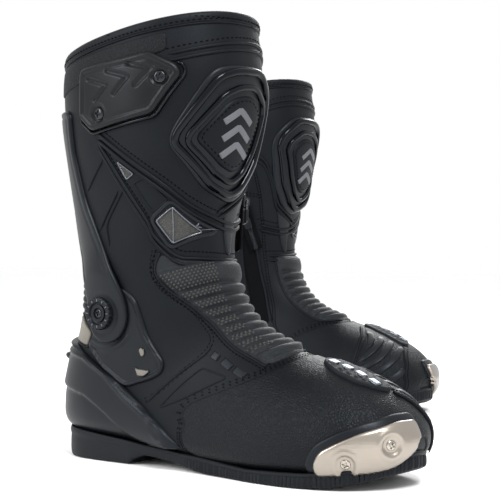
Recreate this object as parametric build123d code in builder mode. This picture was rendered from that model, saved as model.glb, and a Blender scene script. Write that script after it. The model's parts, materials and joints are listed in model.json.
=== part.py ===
from build123d import *
from functools import lru_cache
from math import cos, sin, pi, radians, copysign
import os

# A pair of tall motorcycle riding boots. Millimetres. The origin is on the floor under the right
# boot's ankle: +X points to the toes, -Y is the right boot's outer side, +Z is up.
# Every piece is made for the right boot, and the left boot is its mirror image.

# ---------------------------------------------------------------- driving dimensions
LEFT_BOOT = (-203, 378, 0)      # where the left boot stands
UPPER = 2.2                     # thickness of the outer leather
LINING_OUT = 2.6                # the lining lies between these two depths under the surface
LINING_IN = 5.0
GAP = 0.4                       # between neighbouring pieces on different bodies
SEAT = 0.3                      # between the leather and a piece mounted on it
REACH = 150                     # longer than any cut through a boot

PIVOT_X, PIVOT_Z = -5, 111      # ankle hinge
FLEX_RADIUS = 28                # the foot's side walls end on this radius round the hinge
SHAFT_RADIUS = 28.8             # and the shaft's begin on this one
FRONT_LOW, FRONT_HIGH = -11, 35     # degrees: the front bellows lies between these two rays
REAR_HIGH, REAR_LOW = 143, 196      # degrees: the rear bellows lies between these two rays
ARM_IN, ARM_OUT = 46.0, 49.6    # how far out the flat end of the brace arm lies
ARM_RADIUS = 25
BOSS_RADIUS = 6.0
RUNNING_FIT = 0.05
PIVOT_SCREW_HOLE = 2.0
PIVOT_SCREW_SHANK = 1.8
PIVOT_SCREW_HEAD = 3.4
PLATE_SCREW_HOLE = 3.6          # radii of the holes and heads on the toe slider and the calf plate
PLATE_SCREW_HEAD = 3.4

ZIP_TOP = (51, 45.5, 196)       # centre of the closed zip slider
ZIP_END = (57, 35.0, 162)       # centre of the zip's lower end on the shaft
ZIP_WIDTH = 13
ZIP_THICK = 1.6

COLLAR_DEPTH = 10
TREAD_LIFT = 12                 # how much the toe of the sole rises

# ---------------------------------------------------------------- shape of the boot
# Cross-sections from the collar down the shaft and along the foot to the toe. Each lies in a plane
# through a front point and a back point of the side view. A row holds: front x, front z, back x,
# back z, outer half width, inner half width, the widest place as a fraction of the length from the
# front, and the squareness of the front half and of the back half.
SECTIONS = [
    (89, 328, -62, 298, 60, 60, 0.50, 2.2, 2.2),
    (92, 306, -64, 276, 62, 62, 0.50, 2.2, 2.2),
    (94, 281, -63, 248, 61, 61, 0.50, 2.2, 2.2),
    (90, 250, -58, 216, 58, 58, 0.50, 2.2, 2.2),
    (83, 218, -53, 185, 54, 54, 0.50, 2.2, 2.2),
    (75, 190, -49, 156, 50, 50, 0.50, 2.2, 2.2),
    (72, 166, -48, 127, 47, 46, 0.50, 2.2, 2.2),
    (75, 143, -53, 98, 44, 43, 0.52, 2.2, 2.2),
    (84, 122, -63, 68, 42, 40, 0.55, 2.2, 2.3),
    (98, 106, -68, 40, 41, 38, 0.58, 2.2, 2.5),
    (116, 95, -56, 22, 41, 38, 0.62, 2.2, 2.8),
    (136, 88, 5, 16, 43, 38, 0.66, 2.2, 3.2),
    (156, 82, 70, 9, 48, 41, 0.70, 2.2, 3.6),
    (177, 77, 130, 6, 53, 47, 0.74, 2.2, 3.8),
    (198, 69, 178, 7, 52, 49, 0.74, 2.2, 3.8),
    (215, 60, 206, 10, 44, 43, 0.70, 2.2, 3.4),
    (227, 49, 222, 14, 33, 34, 0.60, 2.2, 3.0),
    (234, 38, 232, 20, 18, 19, 0.50, 2.2, 2.4),
]
SHAFT = ((0, 10),)              # rows that make each stretch of the boot
ANKLE = ((4, 13),)
FOOT = ((6, 18),)
SECTION_POINTS = 20


def loft_rows(rows, grow):
    """Loft a range of sections, grown outwards by a distance."""
    with BuildPart() as form:
        for front_x, front_z, back_x, back_z, outer, inner, widest, square_front, square_back \
                in SECTIONS[rows[0]:rows[1]]:
            front = Vector(front_x, 0, front_z)
            along = (Vector(back_x, 0, back_z) - front).normalized()
            length = (Vector(back_x, 0, back_z) - front).length + 2 * grow
            plane = Plane(
                origin=front + along * (length * widest - grow),
                x_dir=-along,
                z_dir=Vector(0, 1, 0).cross(along),
            )
            points = []
            for step in range(SECTION_POINTS):
                turn = 2 * pi * (step + 0.5) / SECTION_POINTS
                power = 2 / (square_front if cos(turn) >= 0 else square_back)
                half_length = length * (widest if cos(turn) >= 0 else 1 - widest)
                half_width = grow + (outer if sin(turn) >= 0 else inner)
                points.append((
                    half_length * copysign(abs(cos(turn)) ** power, cos(turn)),
                    half_width * copysign(abs(sin(turn)) ** power, sin(turn)),
                ))
            with BuildSketch(plane):
                with BuildLine():
                    Polyline(*points, close=True)
                make_face()
        loft(ruled=True)
    return form.part


@lru_cache(maxsize=None)
def body_form(stretch, grow):
    """The solid boot form along a stretch of the boot, grown outwards by a distance."""
    with BuildPart() as form:
        for rows in stretch:
            add(loft_rows(rows, grow))
    return form.part


SIDE = Plane.XZ                 # side view: sketch x is X, sketch y is Z, extruding goes to -Y
OUTER, INNER, THROUGH = "outer", "inner", "through"


def cut_through(profile, side=THROUGH, mode=Mode.INTERSECT):
    """Keep or take away what lies inside a sketch of the side view, on one side or both."""
    if side == THROUGH:
        extrude(profile.sketch, amount=REACH, both=True, mode=mode)
    else:
        extrude(profile.sketch, amount=REACH if side == OUTER else -REACH, mode=mode)


def skin(stretch, low, high, *outlines, side=THROUGH):
    """A piece of skin between two distances from the surface, inside outlines of the side view."""
    with BuildSketch(SIDE) as profile:
        for outline in outlines:
            with BuildLine():
                Polyline(*outline, close=True)
            make_face()
    add(body_form(stretch, high))
    cut_through(profile, side)
    add(body_form(stretch, low), mode=Mode.SUBTRACT)


def round_skin(stretch, low, high, radius, *centres):
    """Round pieces of skin on the outer side."""
    with BuildSketch(SIDE) as profile:
        with Locations(*centres):
            Circle(radius)
    add(body_form(stretch, high))
    cut_through(profile, OUTER)
    add(body_form(stretch, low), mode=Mode.SUBTRACT)


def ray(degrees):
    """A far point of the side view, seen from the ankle hinge at an angle above straight ahead."""
    turn = radians(degrees)
    return (PIVOT_X + 3 * REACH * cos(turn), PIVOT_Z + 3 * REACH * sin(turn))


def wedge_skin(stretch, low, high, first, last, radius):
    """Skin between two rays from the ankle hinge, outside a radius round it."""
    with BuildSketch(SIDE) as profile:
        with BuildLine():
            Polyline((PIVOT_X, PIVOT_Z), ray(first), ray((first + last) / 2), ray(last), close=True)
        make_face()
        with Locations((PIVOT_X, PIVOT_Z)):
            Circle(radius, mode=Mode.SUBTRACT)
    add(body_form(stretch, high))
    cut_through(profile)
    add(body_form(stretch, low), mode=Mode.SUBTRACT)


def write_pair(piece, name):
    """Label a finished piece and write it for the right boot and, mirrored, for the left."""
    piece.part.label = "right_" + name
    export_step(piece.part, f"parts/right_{name}.step")
    with BuildPart() as other:
        add(piece.part)
        mirror(about=Plane.XZ, mode=Mode.REPLACE)
    left = other.part.moved(Location(LEFT_BOOT))
    left.label = "left_" + name
    export_step(left, f"parts/left_{name}.step")


os.makedirs("parts", exist_ok=True)

# ---------------------------------------------------------------- sole
TREAD_OUTLINE = [
    (-67, 0), (-62, -18), (-50, -30), (-30, -36), (10, -38), (50, -38), (90, -44), (130, -52),
    (160, -55), (190, -51), (212, -41), (228, -25), (236, -5), (234, 12), (225, 28), (205, 40),
    (175, 46), (145, 47), (110, 42), (70, 34), (30, 32), (-10, 33), (-40, 31), (-58, 20),
]
# Upper edge of the sole's side wall, from the heel to the toe
WALL_TOP = [(-80, 24), (-30, 20.5), (5, 17.5), (28, 15), (70, 12), (130, 8.5), (178, 10),
            (206, 13.5), (222, 18), (245, 28)]
HEEL_BREAST = (12, 27)
BREAST_HEIGHT = 7.5
BALL_X = 88                     # the forefoot's tread is flat from here to the toe spring
SPRING_X = 170

with BuildPart() as outsole:
    with BuildSketch():
        with BuildLine():
            Spline(*TREAD_OUTLINE, periodic=True)
        make_face()
    extrude(amount=45)
    with BuildSketch(SIDE):
        with BuildLine():
            Polyline((SPRING_X, 0), (BALL_X, 0))
            Spline((BALL_X, 0), (55, 5), (HEEL_BREAST[1], BREAST_HEIGHT), tangents=[(-1, 0), (-1, 0.05)])
            Polyline((HEEL_BREAST[1], BREAST_HEIGHT), (HEEL_BREAST[0] + 4, 4), (HEEL_BREAST[0], 0), (-80, 0),
                     WALL_TOP[0])
            Polyline(*WALL_TOP)
            Spline(WALL_TOP[-1], (246, 16), (236, TREAD_LIFT), (SPRING_X, 0),
                   tangents=[(0, -1), (-1, 0)])
        make_face()
    extrude(amount=REACH, both=True, mode=Mode.INTERSECT)
    add(body_form(FOOT, 0), mode=Mode.SUBTRACT)
write_pair(outsole, "outsole")

# The bottom line of the foot form, heel to toe. Boards inside the boot follow it.
BOTTOM = [(-62, 24), (5, 16), (70, 9), (130, 6), (178, 7), (206, 10), (224, 15)]


def board(low, high, inset):
    """A flat layer inside the foot, between two heights above the bottom line."""
    outline = [(x, z + low) for x, z in BOTTOM] + [(x, z + high) for x, z in reversed(BOTTOM)]
    with BuildSketch(SIDE) as profile:
        with BuildLine():
            Polyline(*outline, close=True)
        make_face()
    add(body_form(FOOT, -inset))
    cut_through(profile)


with BuildPart() as insole_board:
    board(0, 5.6, UPPER + 0.2)
write_pair(insole_board, "insole_board")

with BuildPart() as footbed:
    board(6.0, 10.5, UPPER + 2.2)
write_pair(footbed, "footbed")

# ---------------------------------------------------------------- foot: upper and protectors
with BuildPart() as foot_upper:
    with BuildSketch(SIDE) as foot_region:
        with BuildLine():
            Polyline((PIVOT_X, PIVOT_Z), ray(FRONT_LOW), (3 * REACH, -REACH), (-3 * REACH, -REACH),
                     ray(REAR_LOW), close=True)
        make_face()
        with Locations((PIVOT_X, PIVOT_Z)):
            Circle(FLEX_RADIUS)
    add(body_form(FOOT, 0))
    cut_through(foot_region)
    add(body_form(FOOT, -UPPER), mode=Mode.SUBTRACT)
write_pair(foot_upper, "foot_upper")

PUFF = [(206, 80), (206, 22), (224, 26), (250, 40), (250, 80)]
COUNTER = [(-80, 84), (-80, 46), (-40, 34), (-18, 34), (-30, 84)]
with BuildPart() as stiffeners:
    skin(FOOT, -UPPER - 1.8, -UPPER - 0.2, PUFF, COUNTER)
write_pair(stiffeners, "stiffeners")

HEEL_CUP = [(-90, 90), (-39, 86), (-12, 72), (14, 58), (30, 46), (49, 31), (64, 14.5),
            (28, 17), (5, 19.5), (-30, 22.5), (-90, 27)]
SPUR = [(-60, 69), (-77, 73), (-60, 78)]
SPUR_WIDTH = 20
with BuildPart() as heel_cup:
    skin(FOOT, SEAT, 3.3, HEEL_CUP)
    with BuildSketch(SIDE):
        with BuildLine():
            Polyline(*SPUR, close=True)
        make_face()
    extrude(amount=SPUR_WIDTH / 2, both=True)
    add(body_form(FOOT, SEAT), mode=Mode.SUBTRACT)
write_pair(heel_cup, "heel_cup")

TOE_BASE = [(178, 12), (190, 27), (210, 40), (229, 49), (250, 50), (250, 30), (222, 19), (206, 15)]
with BuildPart() as toe_slider_base:
    skin(FOOT, SEAT, 2.2, TOE_BASE, side=OUTER)
write_pair(toe_slider_base, "toe_slider_base")

TOE_PLATE = [(185, 14.5), (198, 26), (215, 35), (231, 43), (250, 44), (250, 36), (222, 20), (206, 16)]
TOE_PLATE_END = -4              # the plate stops just short of the toe's centre line
TOE_SCREWS = [(205, 20), (224, 30)]
with BuildPart() as toe_slider:
    skin(FOOT, 2.4, 5.2, TOE_PLATE, side=OUTER)
    with BuildSketch(SIDE.offset(-TOE_PLATE_END)):
        with Locations(*TOE_SCREWS):
            Circle(PLATE_SCREW_HOLE)
    extrude(amount=REACH, mode=Mode.SUBTRACT)
write_pair(toe_slider, "toe_slider")

with BuildPart() as toe_slider_screws:
    round_skin(FOOT, 2.4, 4.6, PLATE_SCREW_HEAD, *TOE_SCREWS)
write_pair(toe_slider_screws, "toe_slider_screws")

SHIFT_PAD = [(164, -2), (170, -12), (182, -17), (197, -17), (209, -9), (213, 0), (209, 5), (184, 4)]
with BuildPart() as shift_pad:
    add(body_form(FOOT, 3.6))
    with BuildSketch(Plane.XY.offset(50)):
        with BuildLine():
            Polyline(*SHIFT_PAD, close=True)
        make_face()
    extrude(amount=REACH, mode=Mode.INTERSECT)
    add(body_form(FOOT, SEAT), mode=Mode.SUBTRACT)
write_pair(shift_pad, "shift_pad")

SHIFT_PANEL_START = 6            # just inside the pad, on the boot's inner side
SHIFT_PANEL = [(172, 90), (176, 62), (172, 38), (196, 22), (214, 24), (222, 40), (214, 90)]
with BuildPart() as shift_panel:
    skin(FOOT, SEAT, 1.8, SHIFT_PANEL, side=INNER)
    with BuildSketch(Plane.XZ.offset(-SHIFT_PANEL_START)):
        Rectangle(4 * REACH, 4 * REACH)
    extrude(amount=REACH, mode=Mode.SUBTRACT)
write_pair(shift_panel, "shift_panel")

ANKLE_PLATE = [(-22, 124), (-5, 132), (10, 130), (20, 117), (30, 102), (36, 92), (44, 78), (40, 68),
               (28, 63), (12, 63), (-10, 78), (-24, 92)]
INSERTS = [[(25, 85), (29, 87), (33, 84), (30, 80), (26, 81)], [(22, 71), (35, 74), (30, 69), (23, 68)]]
REAR_PATCH = [(-37, 104), (-27, 98), (-30, 88), (-43, 94)]
with BuildPart() as ankle_plate:
    skin(FOOT, SEAT, 2.8, ANKLE_PLATE, side=OUTER)
    with BuildSketch(SIDE.offset(ARM_IN - GAP)):
        with Locations((PIVOT_X, PIVOT_Z)):
            Circle(ARM_RADIUS + 12)
    extrude(amount=20, mode=Mode.SUBTRACT)
    with BuildSketch(SIDE.offset(ARM_IN - 6)):
        with Locations((PIVOT_X, PIVOT_Z)):
            Circle(BOSS_RADIUS)
    extrude(amount=ARM_OUT - ARM_IN + 6.3)
    add(body_form(FOOT, SEAT), mode=Mode.SUBTRACT)
    with BuildSketch(SIDE.offset(ARM_IN)):
        with Locations((PIVOT_X, PIVOT_Z)):
            Circle(PIVOT_SCREW_HOLE)
    extrude(amount=20, mode=Mode.SUBTRACT)
write_pair(ankle_plate, "ankle_plate")

with BuildPart() as rear_patch:
    skin(FOOT, SEAT, 0.9, REAR_PATCH, side=OUTER)
with BuildPart() as reflectors:
    skin(FOOT, 3.0, 3.8, *INSERTS, side=OUTER)
    add(rear_patch.part)
write_pair(reflectors, "reflectors")

DIAL_RADIUS = 11.5
DIAL_THICK = 3.6
DIAL_IN = ARM_OUT + 0.3
with BuildPart() as pivot_dial:
    with BuildSketch(SIDE.offset(DIAL_IN)):
        with Locations((PIVOT_X, PIVOT_Z)):
            Circle(DIAL_RADIUS)
    extrude(amount=DIAL_THICK)
    chamfer(pivot_dial.faces().sort_by(Axis.Y)[0].edges(), 0.8)
    with BuildSketch(SIDE.offset(DIAL_IN + 2.0)):
        with Locations((PIVOT_X, PIVOT_Z)):
            Circle(DIAL_RADIUS - 5.0)
    extrude(amount=DIAL_THICK, mode=Mode.SUBTRACT)
    with BuildSketch(SIDE.offset(DIAL_IN)):
        with Locations((PIVOT_X, PIVOT_Z)):
            Circle(PIVOT_SCREW_HOLE)
    extrude(amount=DIAL_THICK, mode=Mode.SUBTRACT)
write_pair(pivot_dial, "pivot_dial")

with BuildPart() as pivot_screw:
    with BuildSketch(SIDE.offset(ARM_IN + 0.5)):
        with Locations((PIVOT_X, PIVOT_Z)):
            Circle(PIVOT_SCREW_SHANK)
    extrude(amount=ARM_OUT - ARM_IN + 2.0)
    with BuildSketch(SIDE.offset(DIAL_IN + 2.1)):
        with Locations((PIVOT_X, PIVOT_Z)):
            Circle(PIVOT_SCREW_HEAD)
    extrude(amount=1.6)
write_pair(pivot_screw, "pivot_screw")

# ---------------------------------------------------------------- ankle: bellows that bend with the joint
WEDGE_GAP = 0.3                 # degrees left open beside each bellows
with BuildPart() as front_bellows:
    wedge_skin(ANKLE, -UPPER, 0, FRONT_LOW + WEDGE_GAP, FRONT_HIGH - WEDGE_GAP, SHAFT_RADIUS)
write_pair(front_bellows, "front_bellows")

with BuildPart() as rear_bellows:
    wedge_skin(ANKLE, -UPPER, 0, REAR_HIGH + WEDGE_GAP, REAR_LOW - WEDGE_GAP, SHAFT_RADIUS)
write_pair(rear_bellows, "rear_bellows")

# ---------------------------------------------------------------- shaft
TOP = [(-62, 298), (89, 328)]   # the collar's rim, back and front
RIM_SLOPE = (TOP[1][1] - TOP[0][1]) / (TOP[1][0] - TOP[0][0])


def rim(x, below):
    """A point of the side view at a distance below the collar's rim."""
    return (x, TOP[0][1] + (x - TOP[0][0]) * RIM_SLOPE - below)


COLLAR_BAND = [rim(-REACH, COLLAR_DEPTH), rim(REACH, COLLAR_DEPTH), rim(REACH, -40), rim(-REACH, -40)]


def take_collar_off():
    """Cut away what lies in the collar's band."""
    with BuildSketch(SIDE) as band:
        with BuildLine():
            Polyline(*COLLAR_BAND, close=True)
        make_face()
    cut_through(band, mode=Mode.SUBTRACT)


with BuildPart() as shaft_shell:
    wedge_skin(SHAFT, -UPPER, 0, FRONT_HIGH, REAR_HIGH, SHAFT_RADIUS)
    take_collar_off()
write_pair(shaft_shell, "shaft_shell")

with BuildPart() as shaft_lining:
    wedge_skin(SHAFT, -LINING_IN, -LINING_OUT, FRONT_HIGH + 2, REAR_HIGH - 2, SHAFT_RADIUS + 3)
    take_collar_off()
write_pair(shaft_lining, "shaft_lining")

with BuildPart() as collar:
    skin(SHAFT, -LINING_IN, 1.2, COLLAR_BAND)
write_pair(collar, "collar")

SHIN_PLATE = [(110, 292), (84, 288), (60, 240), (60, 234), (76, 203), (72, 192), (92, 192), (112, 240)]
SHIN_PAD = [(110, 275), (89, 272), (70, 240), (70, 235), (80, 213), (112, 213)]
OUTER_RAIL = [(110, 287), (88, 284), (64, 240), (64, 235), (77, 207), (112, 205)]
with BuildPart() as shin_plate:
    skin(SHAFT, SEAT, 2.6, SHIN_PLATE)
write_pair(shin_plate, "shin_plate")

with BuildPart() as shin_rails:
    skin(SHAFT, 2.8, 6.0, OUTER_RAIL)
    with BuildSketch(SIDE) as pad_hole:
        with BuildLine():
            Polyline(*SHIN_PAD, close=True)
        make_face()
    cut_through(pad_hole, mode=Mode.SUBTRACT)
write_pair(shin_rails, "shin_rails")

CALF_PLATE = [(-11, 289), (49, 300), (68, 290), (70, 283), (50, 255), (-2, 244), (-15, 255)]
CALF_SCREWS = [(57, 281), (6, 257)]
with BuildPart() as calf_plate:
    skin(SHAFT, SEAT, 3.4, CALF_PLATE, side=OUTER)
    with BuildSketch(SIDE):
        with Locations(*CALF_SCREWS):
            Circle(PLATE_SCREW_HOLE)
    extrude(amount=REACH, mode=Mode.SUBTRACT)
write_pair(calf_plate, "calf_plate")

with BuildPart() as calf_plate_screws:
    round_skin(SHAFT, SEAT, 2.6, PLATE_SCREW_HEAD, *CALF_SCREWS)
write_pair(calf_plate_screws, "calf_plate_screws")

# The arm follows the shaft from the back of the calf, and ends in a flat ring round the boss.
BRACE_ARM = [(-74, 262), (-30, 261), (-29, 231), (-18, 194), (-6, 172), (4, 148), (-34, 148),
             (-44, 172), (-54, 200), (-70, 230)]
ARM_TIP = [(4, 150), (14, 134), (20, 111), (-5, 111), (-30, 111), (-33, 150)]
with BuildPart() as arm_strip:
    skin(SHAFT, 0.5, 3.6, BRACE_ARM, side=OUTER)
with BuildPart() as brace_arm:
    with BuildSketch(SIDE.offset(ARM_IN)):
        with Locations((PIVOT_X, PIVOT_Z)):
            Circle(ARM_RADIUS)
        with BuildLine():
            Polyline(*ARM_TIP, close=True)
        make_face()
    extrude(amount=ARM_OUT - ARM_IN)
    add(arm_strip.part)
    add(body_form(SHAFT, 0.5), mode=Mode.SUBTRACT)
    with BuildSketch(SIDE):
        with Locations((PIVOT_X, PIVOT_Z)):
            Circle(BOSS_RADIUS + RUNNING_FIT)
    extrude(amount=REACH, mode=Mode.SUBTRACT)
write_pair(brace_arm, "brace_arm")

VENTS = [
    [(19, 222), (32, 213), (26, 209)],
    [(42, 180), (56, 189), (68, 171), (52, 165)],
]
with BuildPart() as side_vents:
    skin(SHAFT, SEAT, 1.6, *VENTS, side=OUTER)
write_pair(side_vents, "side_vents")

# ---------------------------------------------------------------- zip on the inner side
ZIP_RUN = Vector(*ZIP_END) - Vector(*ZIP_TOP)
ZIP_DOWN = ZIP_RUN.normalized()
ZIP_OUT = (Vector(0.45, 0.89, 0) - ZIP_DOWN * ZIP_DOWN.dot(Vector(0.45, 0.89, 0))).normalized()
ZIP_LIFT = 1.6                  # from the closed zip's line out to the tape's back


def zip_plane(down, out):
    """A plane along the tape: x down the zip, z away from the boot."""
    return Plane(origin=Vector(*ZIP_TOP) + ZIP_DOWN * down + ZIP_OUT * out, x_dir=ZIP_DOWN, z_dir=ZIP_OUT)


with BuildPart() as zip_strip:
    with BuildSketch(zip_plane(ZIP_RUN.length / 2, ZIP_LIFT)):
        Rectangle(ZIP_RUN.length + 12, ZIP_WIDTH)
    extrude(amount=ZIP_THICK)
write_pair(zip_strip, "zip")

SLIDER_IN = ZIP_LIFT + ZIP_THICK + 0.3
BRIDGE_HEIGHT = 3.6             # the puller's bar turns in the gap under the bridge
with BuildPart() as zip_slider:
    with BuildSketch(zip_plane(0, SLIDER_IN)):
        RectangleRounded(9, 8, 2)
    extrude(amount=2.2)
    with BuildSketch(zip_plane(0, SLIDER_IN + 2.2)):
        with Locations((-3.0, 0), (3.0, 0)):
            Rectangle(1.6, 2.4)
    extrude(amount=BRIDGE_HEIGHT)
    with BuildSketch(zip_plane(0, SLIDER_IN + 2.2 + BRIDGE_HEIGHT)):
        Rectangle(7.6, 2.4)
    extrude(amount=1.0)
write_pair(zip_slider, "zip_slider")

PULLER_START, PULLER_END = -1.4, 18
PULLER_SLOT = (1.2, 5.4)
with BuildPart() as zip_puller:
    with BuildSketch(zip_plane(0, SLIDER_IN + 3.2)):
        with Locations(((PULLER_START + PULLER_END) / 2, 0)):
            RectangleRounded(PULLER_END - PULLER_START, 6, 1)
        with Locations((sum(PULLER_SLOT) / 2, 0)):
            Rectangle(PULLER_SLOT[1] - PULLER_SLOT[0], 3.4, mode=Mode.SUBTRACT)
    extrude(amount=1.6)
write_pair(zip_puller, "zip_puller")

# ---------------------------------------------------------------- closing flap on the inner side
TOP_FLAP = [(60, 290), (58, 226), (20, 216), (6, 232), (4, 284)]
with BuildPart() as top_flap:
    skin(SHAFT, 0.5, 2.3, TOP_FLAP, side=INNER)
write_pair(top_flap, "top_flap")
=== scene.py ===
import json
import math
import bpy
import numpy as np
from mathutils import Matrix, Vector
from mathutils.bvhtree import BVHTree
from mathutils.geometry import delaunay_2d_cdt


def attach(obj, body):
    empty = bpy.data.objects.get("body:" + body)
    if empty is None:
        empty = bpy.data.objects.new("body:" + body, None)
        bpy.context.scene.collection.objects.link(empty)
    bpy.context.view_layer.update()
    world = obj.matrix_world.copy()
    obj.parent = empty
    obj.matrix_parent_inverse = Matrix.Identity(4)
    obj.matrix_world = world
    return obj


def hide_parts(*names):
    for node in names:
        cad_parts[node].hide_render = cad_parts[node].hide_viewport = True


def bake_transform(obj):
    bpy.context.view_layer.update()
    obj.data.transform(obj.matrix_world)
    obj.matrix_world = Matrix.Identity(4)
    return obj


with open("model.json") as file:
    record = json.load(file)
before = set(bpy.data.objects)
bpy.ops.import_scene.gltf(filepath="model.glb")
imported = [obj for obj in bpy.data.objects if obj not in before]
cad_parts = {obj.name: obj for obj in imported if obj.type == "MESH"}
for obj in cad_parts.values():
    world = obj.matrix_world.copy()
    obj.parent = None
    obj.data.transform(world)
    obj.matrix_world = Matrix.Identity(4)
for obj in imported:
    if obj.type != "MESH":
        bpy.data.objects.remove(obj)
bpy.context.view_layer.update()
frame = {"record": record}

# A pair of motorcycle riding boots. Shapes are written for the right boot in millimetres, in the
# frame of the CAD model, and every piece is made twice: the left boot is the mirror image.
MM = 0.001
joints = {joint["name"]: joint for joint in frame["record"]["behaviour"]["joints"]}
RIGHT_PIVOT = np.array(joints["right_ankle_flex"]["pos_m"]) / MM
LEFT_SHIFT = np.array(joints["left_ankle_flex"]["pos_m"]) / MM - RIGHT_PIVOT
PIVOT_X, PIVOT_Z = RIGHT_PIVOT[0], RIGHT_PIVOT[2]
ROOT = 0.8                          # how far raised pieces reach below the leather

# ---------------------------------------------------------------- camera, light, floor
CAMERA_AT = (0.7097, -0.8441, 0.1625)
CAMERA_TURN = math.radians(36.0)
CAMERA_PITCH = math.radians(-0.25)
LENS, SENSOR = 103.68, 36
FLOOR_HALF, FLOOR_DROP = 6.0, 0.0005


def add_object(name, data):
    thing = bpy.data.objects.new(name, data)
    bpy.context.collection.objects.link(thing)
    return thing


def make_camera():
    data = bpy.data.cameras.new("camera")
    data.lens = LENS
    data.sensor_width = SENSOR
    camera = add_object("camera", data)
    camera.location = CAMERA_AT
    camera.rotation_euler = (math.pi / 2 + CAMERA_PITCH, 0, CAMERA_TURN)
    bpy.context.scene.camera = camera


def area_light(name, place, target, size, power):
    data = bpy.data.lights.new(name, "AREA")
    data.shape = "RECTANGLE"
    data.size, data.size_y = size
    data.energy = power
    light = add_object(name, data)
    light.location = place
    light.rotation_euler = (Vector(target) - Vector(place)).to_track_quat("-Z", "Y").to_euler()


def make_studio():
    world = bpy.data.worlds.new("studio")
    bpy.context.scene.world = world
    world.use_nodes = True
    background = world.node_tree.nodes["Background"]
    background.inputs["Color"].default_value = (1, 1, 1, 1)
    background.inputs["Strength"].default_value = 1.0
    bpy.context.scene.view_settings.view_transform = "Standard"
    area_light("key", (0.9, -0.5, 1.3), (0, 0, 0.2), (0.5, 0.5), 20)
    area_light("side", (-0.6, -1.2, 0.8), (0, 0, 0.15), (0.3, 0.9), 12)
    area_light("back", (-0.5, 1.5, 1.0), (0, 0.2, 0.2), (0.8, 0.5), 14)
    data = bpy.data.meshes.new("floor")
    corners = [(x * FLOOR_HALF, y * FLOOR_HALF, 0) for x, y in ((-1, -1), (1, -1), (1, 1), (-1, 1))]
    data.from_pydata(corners, [], [(0, 1, 2, 3)])
    floor = add_object("floor", data)
    floor.location.z = -FLOOR_DROP
    paint = bpy.data.materials.new("floor_paint")
    paint.use_nodes = True
    shader = paint.node_tree.nodes["Principled BSDF"]
    shader.inputs["Base Color"].default_value = (0.99, 0.99, 0.99, 1)
    shader.inputs["Roughness"].default_value = 0.7
    data.materials.append(paint)


# ---------------------------------------------------------------- materials
CLOUD_SCALE = 18.0
BUMP_REACH = 0.0006


def finish(name, base, rough, grain=None, bump=0.0, metal=0.0, spread=0.25, pattern="NOISE",
           shine=0.25):
    """A procedural surface: colour and gloss vary slowly, and a fine grain lifts the surface."""
    paint = bpy.data.materials.new(name)
    paint.use_nodes = True
    nodes, links = paint.node_tree.nodes, paint.node_tree.links
    shader = nodes["Principled BSDF"]
    place = nodes.new("ShaderNodeTexCoord")
    clouds = nodes.new("ShaderNodeTexNoise")
    clouds.inputs["Scale"].default_value = CLOUD_SCALE
    clouds.inputs["Detail"].default_value = 6
    links.new(place.outputs["Object"], clouds.inputs["Vector"])
    colour = nodes.new("ShaderNodeValToRGB")
    colour.color_ramp.elements[0].position = 0.3
    colour.color_ramp.elements[1].position = 0.7
    colour.color_ramp.elements[0].color = [c * (1 - spread) for c in base] + [1]
    colour.color_ramp.elements[1].color = [c * (1 + spread) for c in base] + [1]
    links.new(clouds.outputs["Fac"], colour.inputs["Fac"])
    links.new(colour.outputs["Color"], shader.inputs["Base Color"])
    gloss = nodes.new("ShaderNodeMapRange")
    gloss.inputs["To Min"].default_value = max(rough - 0.07, 0.03)
    gloss.inputs["To Max"].default_value = rough + 0.07
    links.new(clouds.outputs["Fac"], gloss.inputs["Value"])
    links.new(gloss.outputs["Result"], shader.inputs["Roughness"])
    shader.inputs["Metallic"].default_value = metal
    shader.inputs["Specular Tint"].default_value = (0.86, 0.93, 1.0, 1)
    shader.inputs["Specular IOR Level"].default_value = 0.5 if metal else shine
    if bump:
        source, height = place.outputs["Object"], "Fac"
        if pattern == "BRUSHED":
            stretch = nodes.new("ShaderNodeMapping")
            stretch.inputs["Scale"].default_value = (0.08, 0.08, 1.0)
            links.new(source, stretch.inputs["Vector"])
            source = stretch.outputs["Vector"]
        fine = nodes.new("ShaderNodeTexVoronoi" if pattern == "VORONOI" else "ShaderNodeTexNoise")
        if pattern == "VORONOI":
            fine.feature = "DISTANCE_TO_EDGE"
            height = "Distance"
        elif pattern == "NOISE":
            fine.inputs["Detail"].default_value = 4
        fine.inputs["Scale"].default_value = grain
        links.new(source, fine.inputs["Vector"])
        lift = nodes.new("ShaderNodeBump")
        lift.inputs["Strength"].default_value = bump
        lift.inputs["Distance"].default_value = BUMP_REACH
        links.new(fine.outputs[height], lift.inputs["Height"])
        links.new(lift.outputs["Normal"], shader.inputs["Normal"])
    return paint


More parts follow.
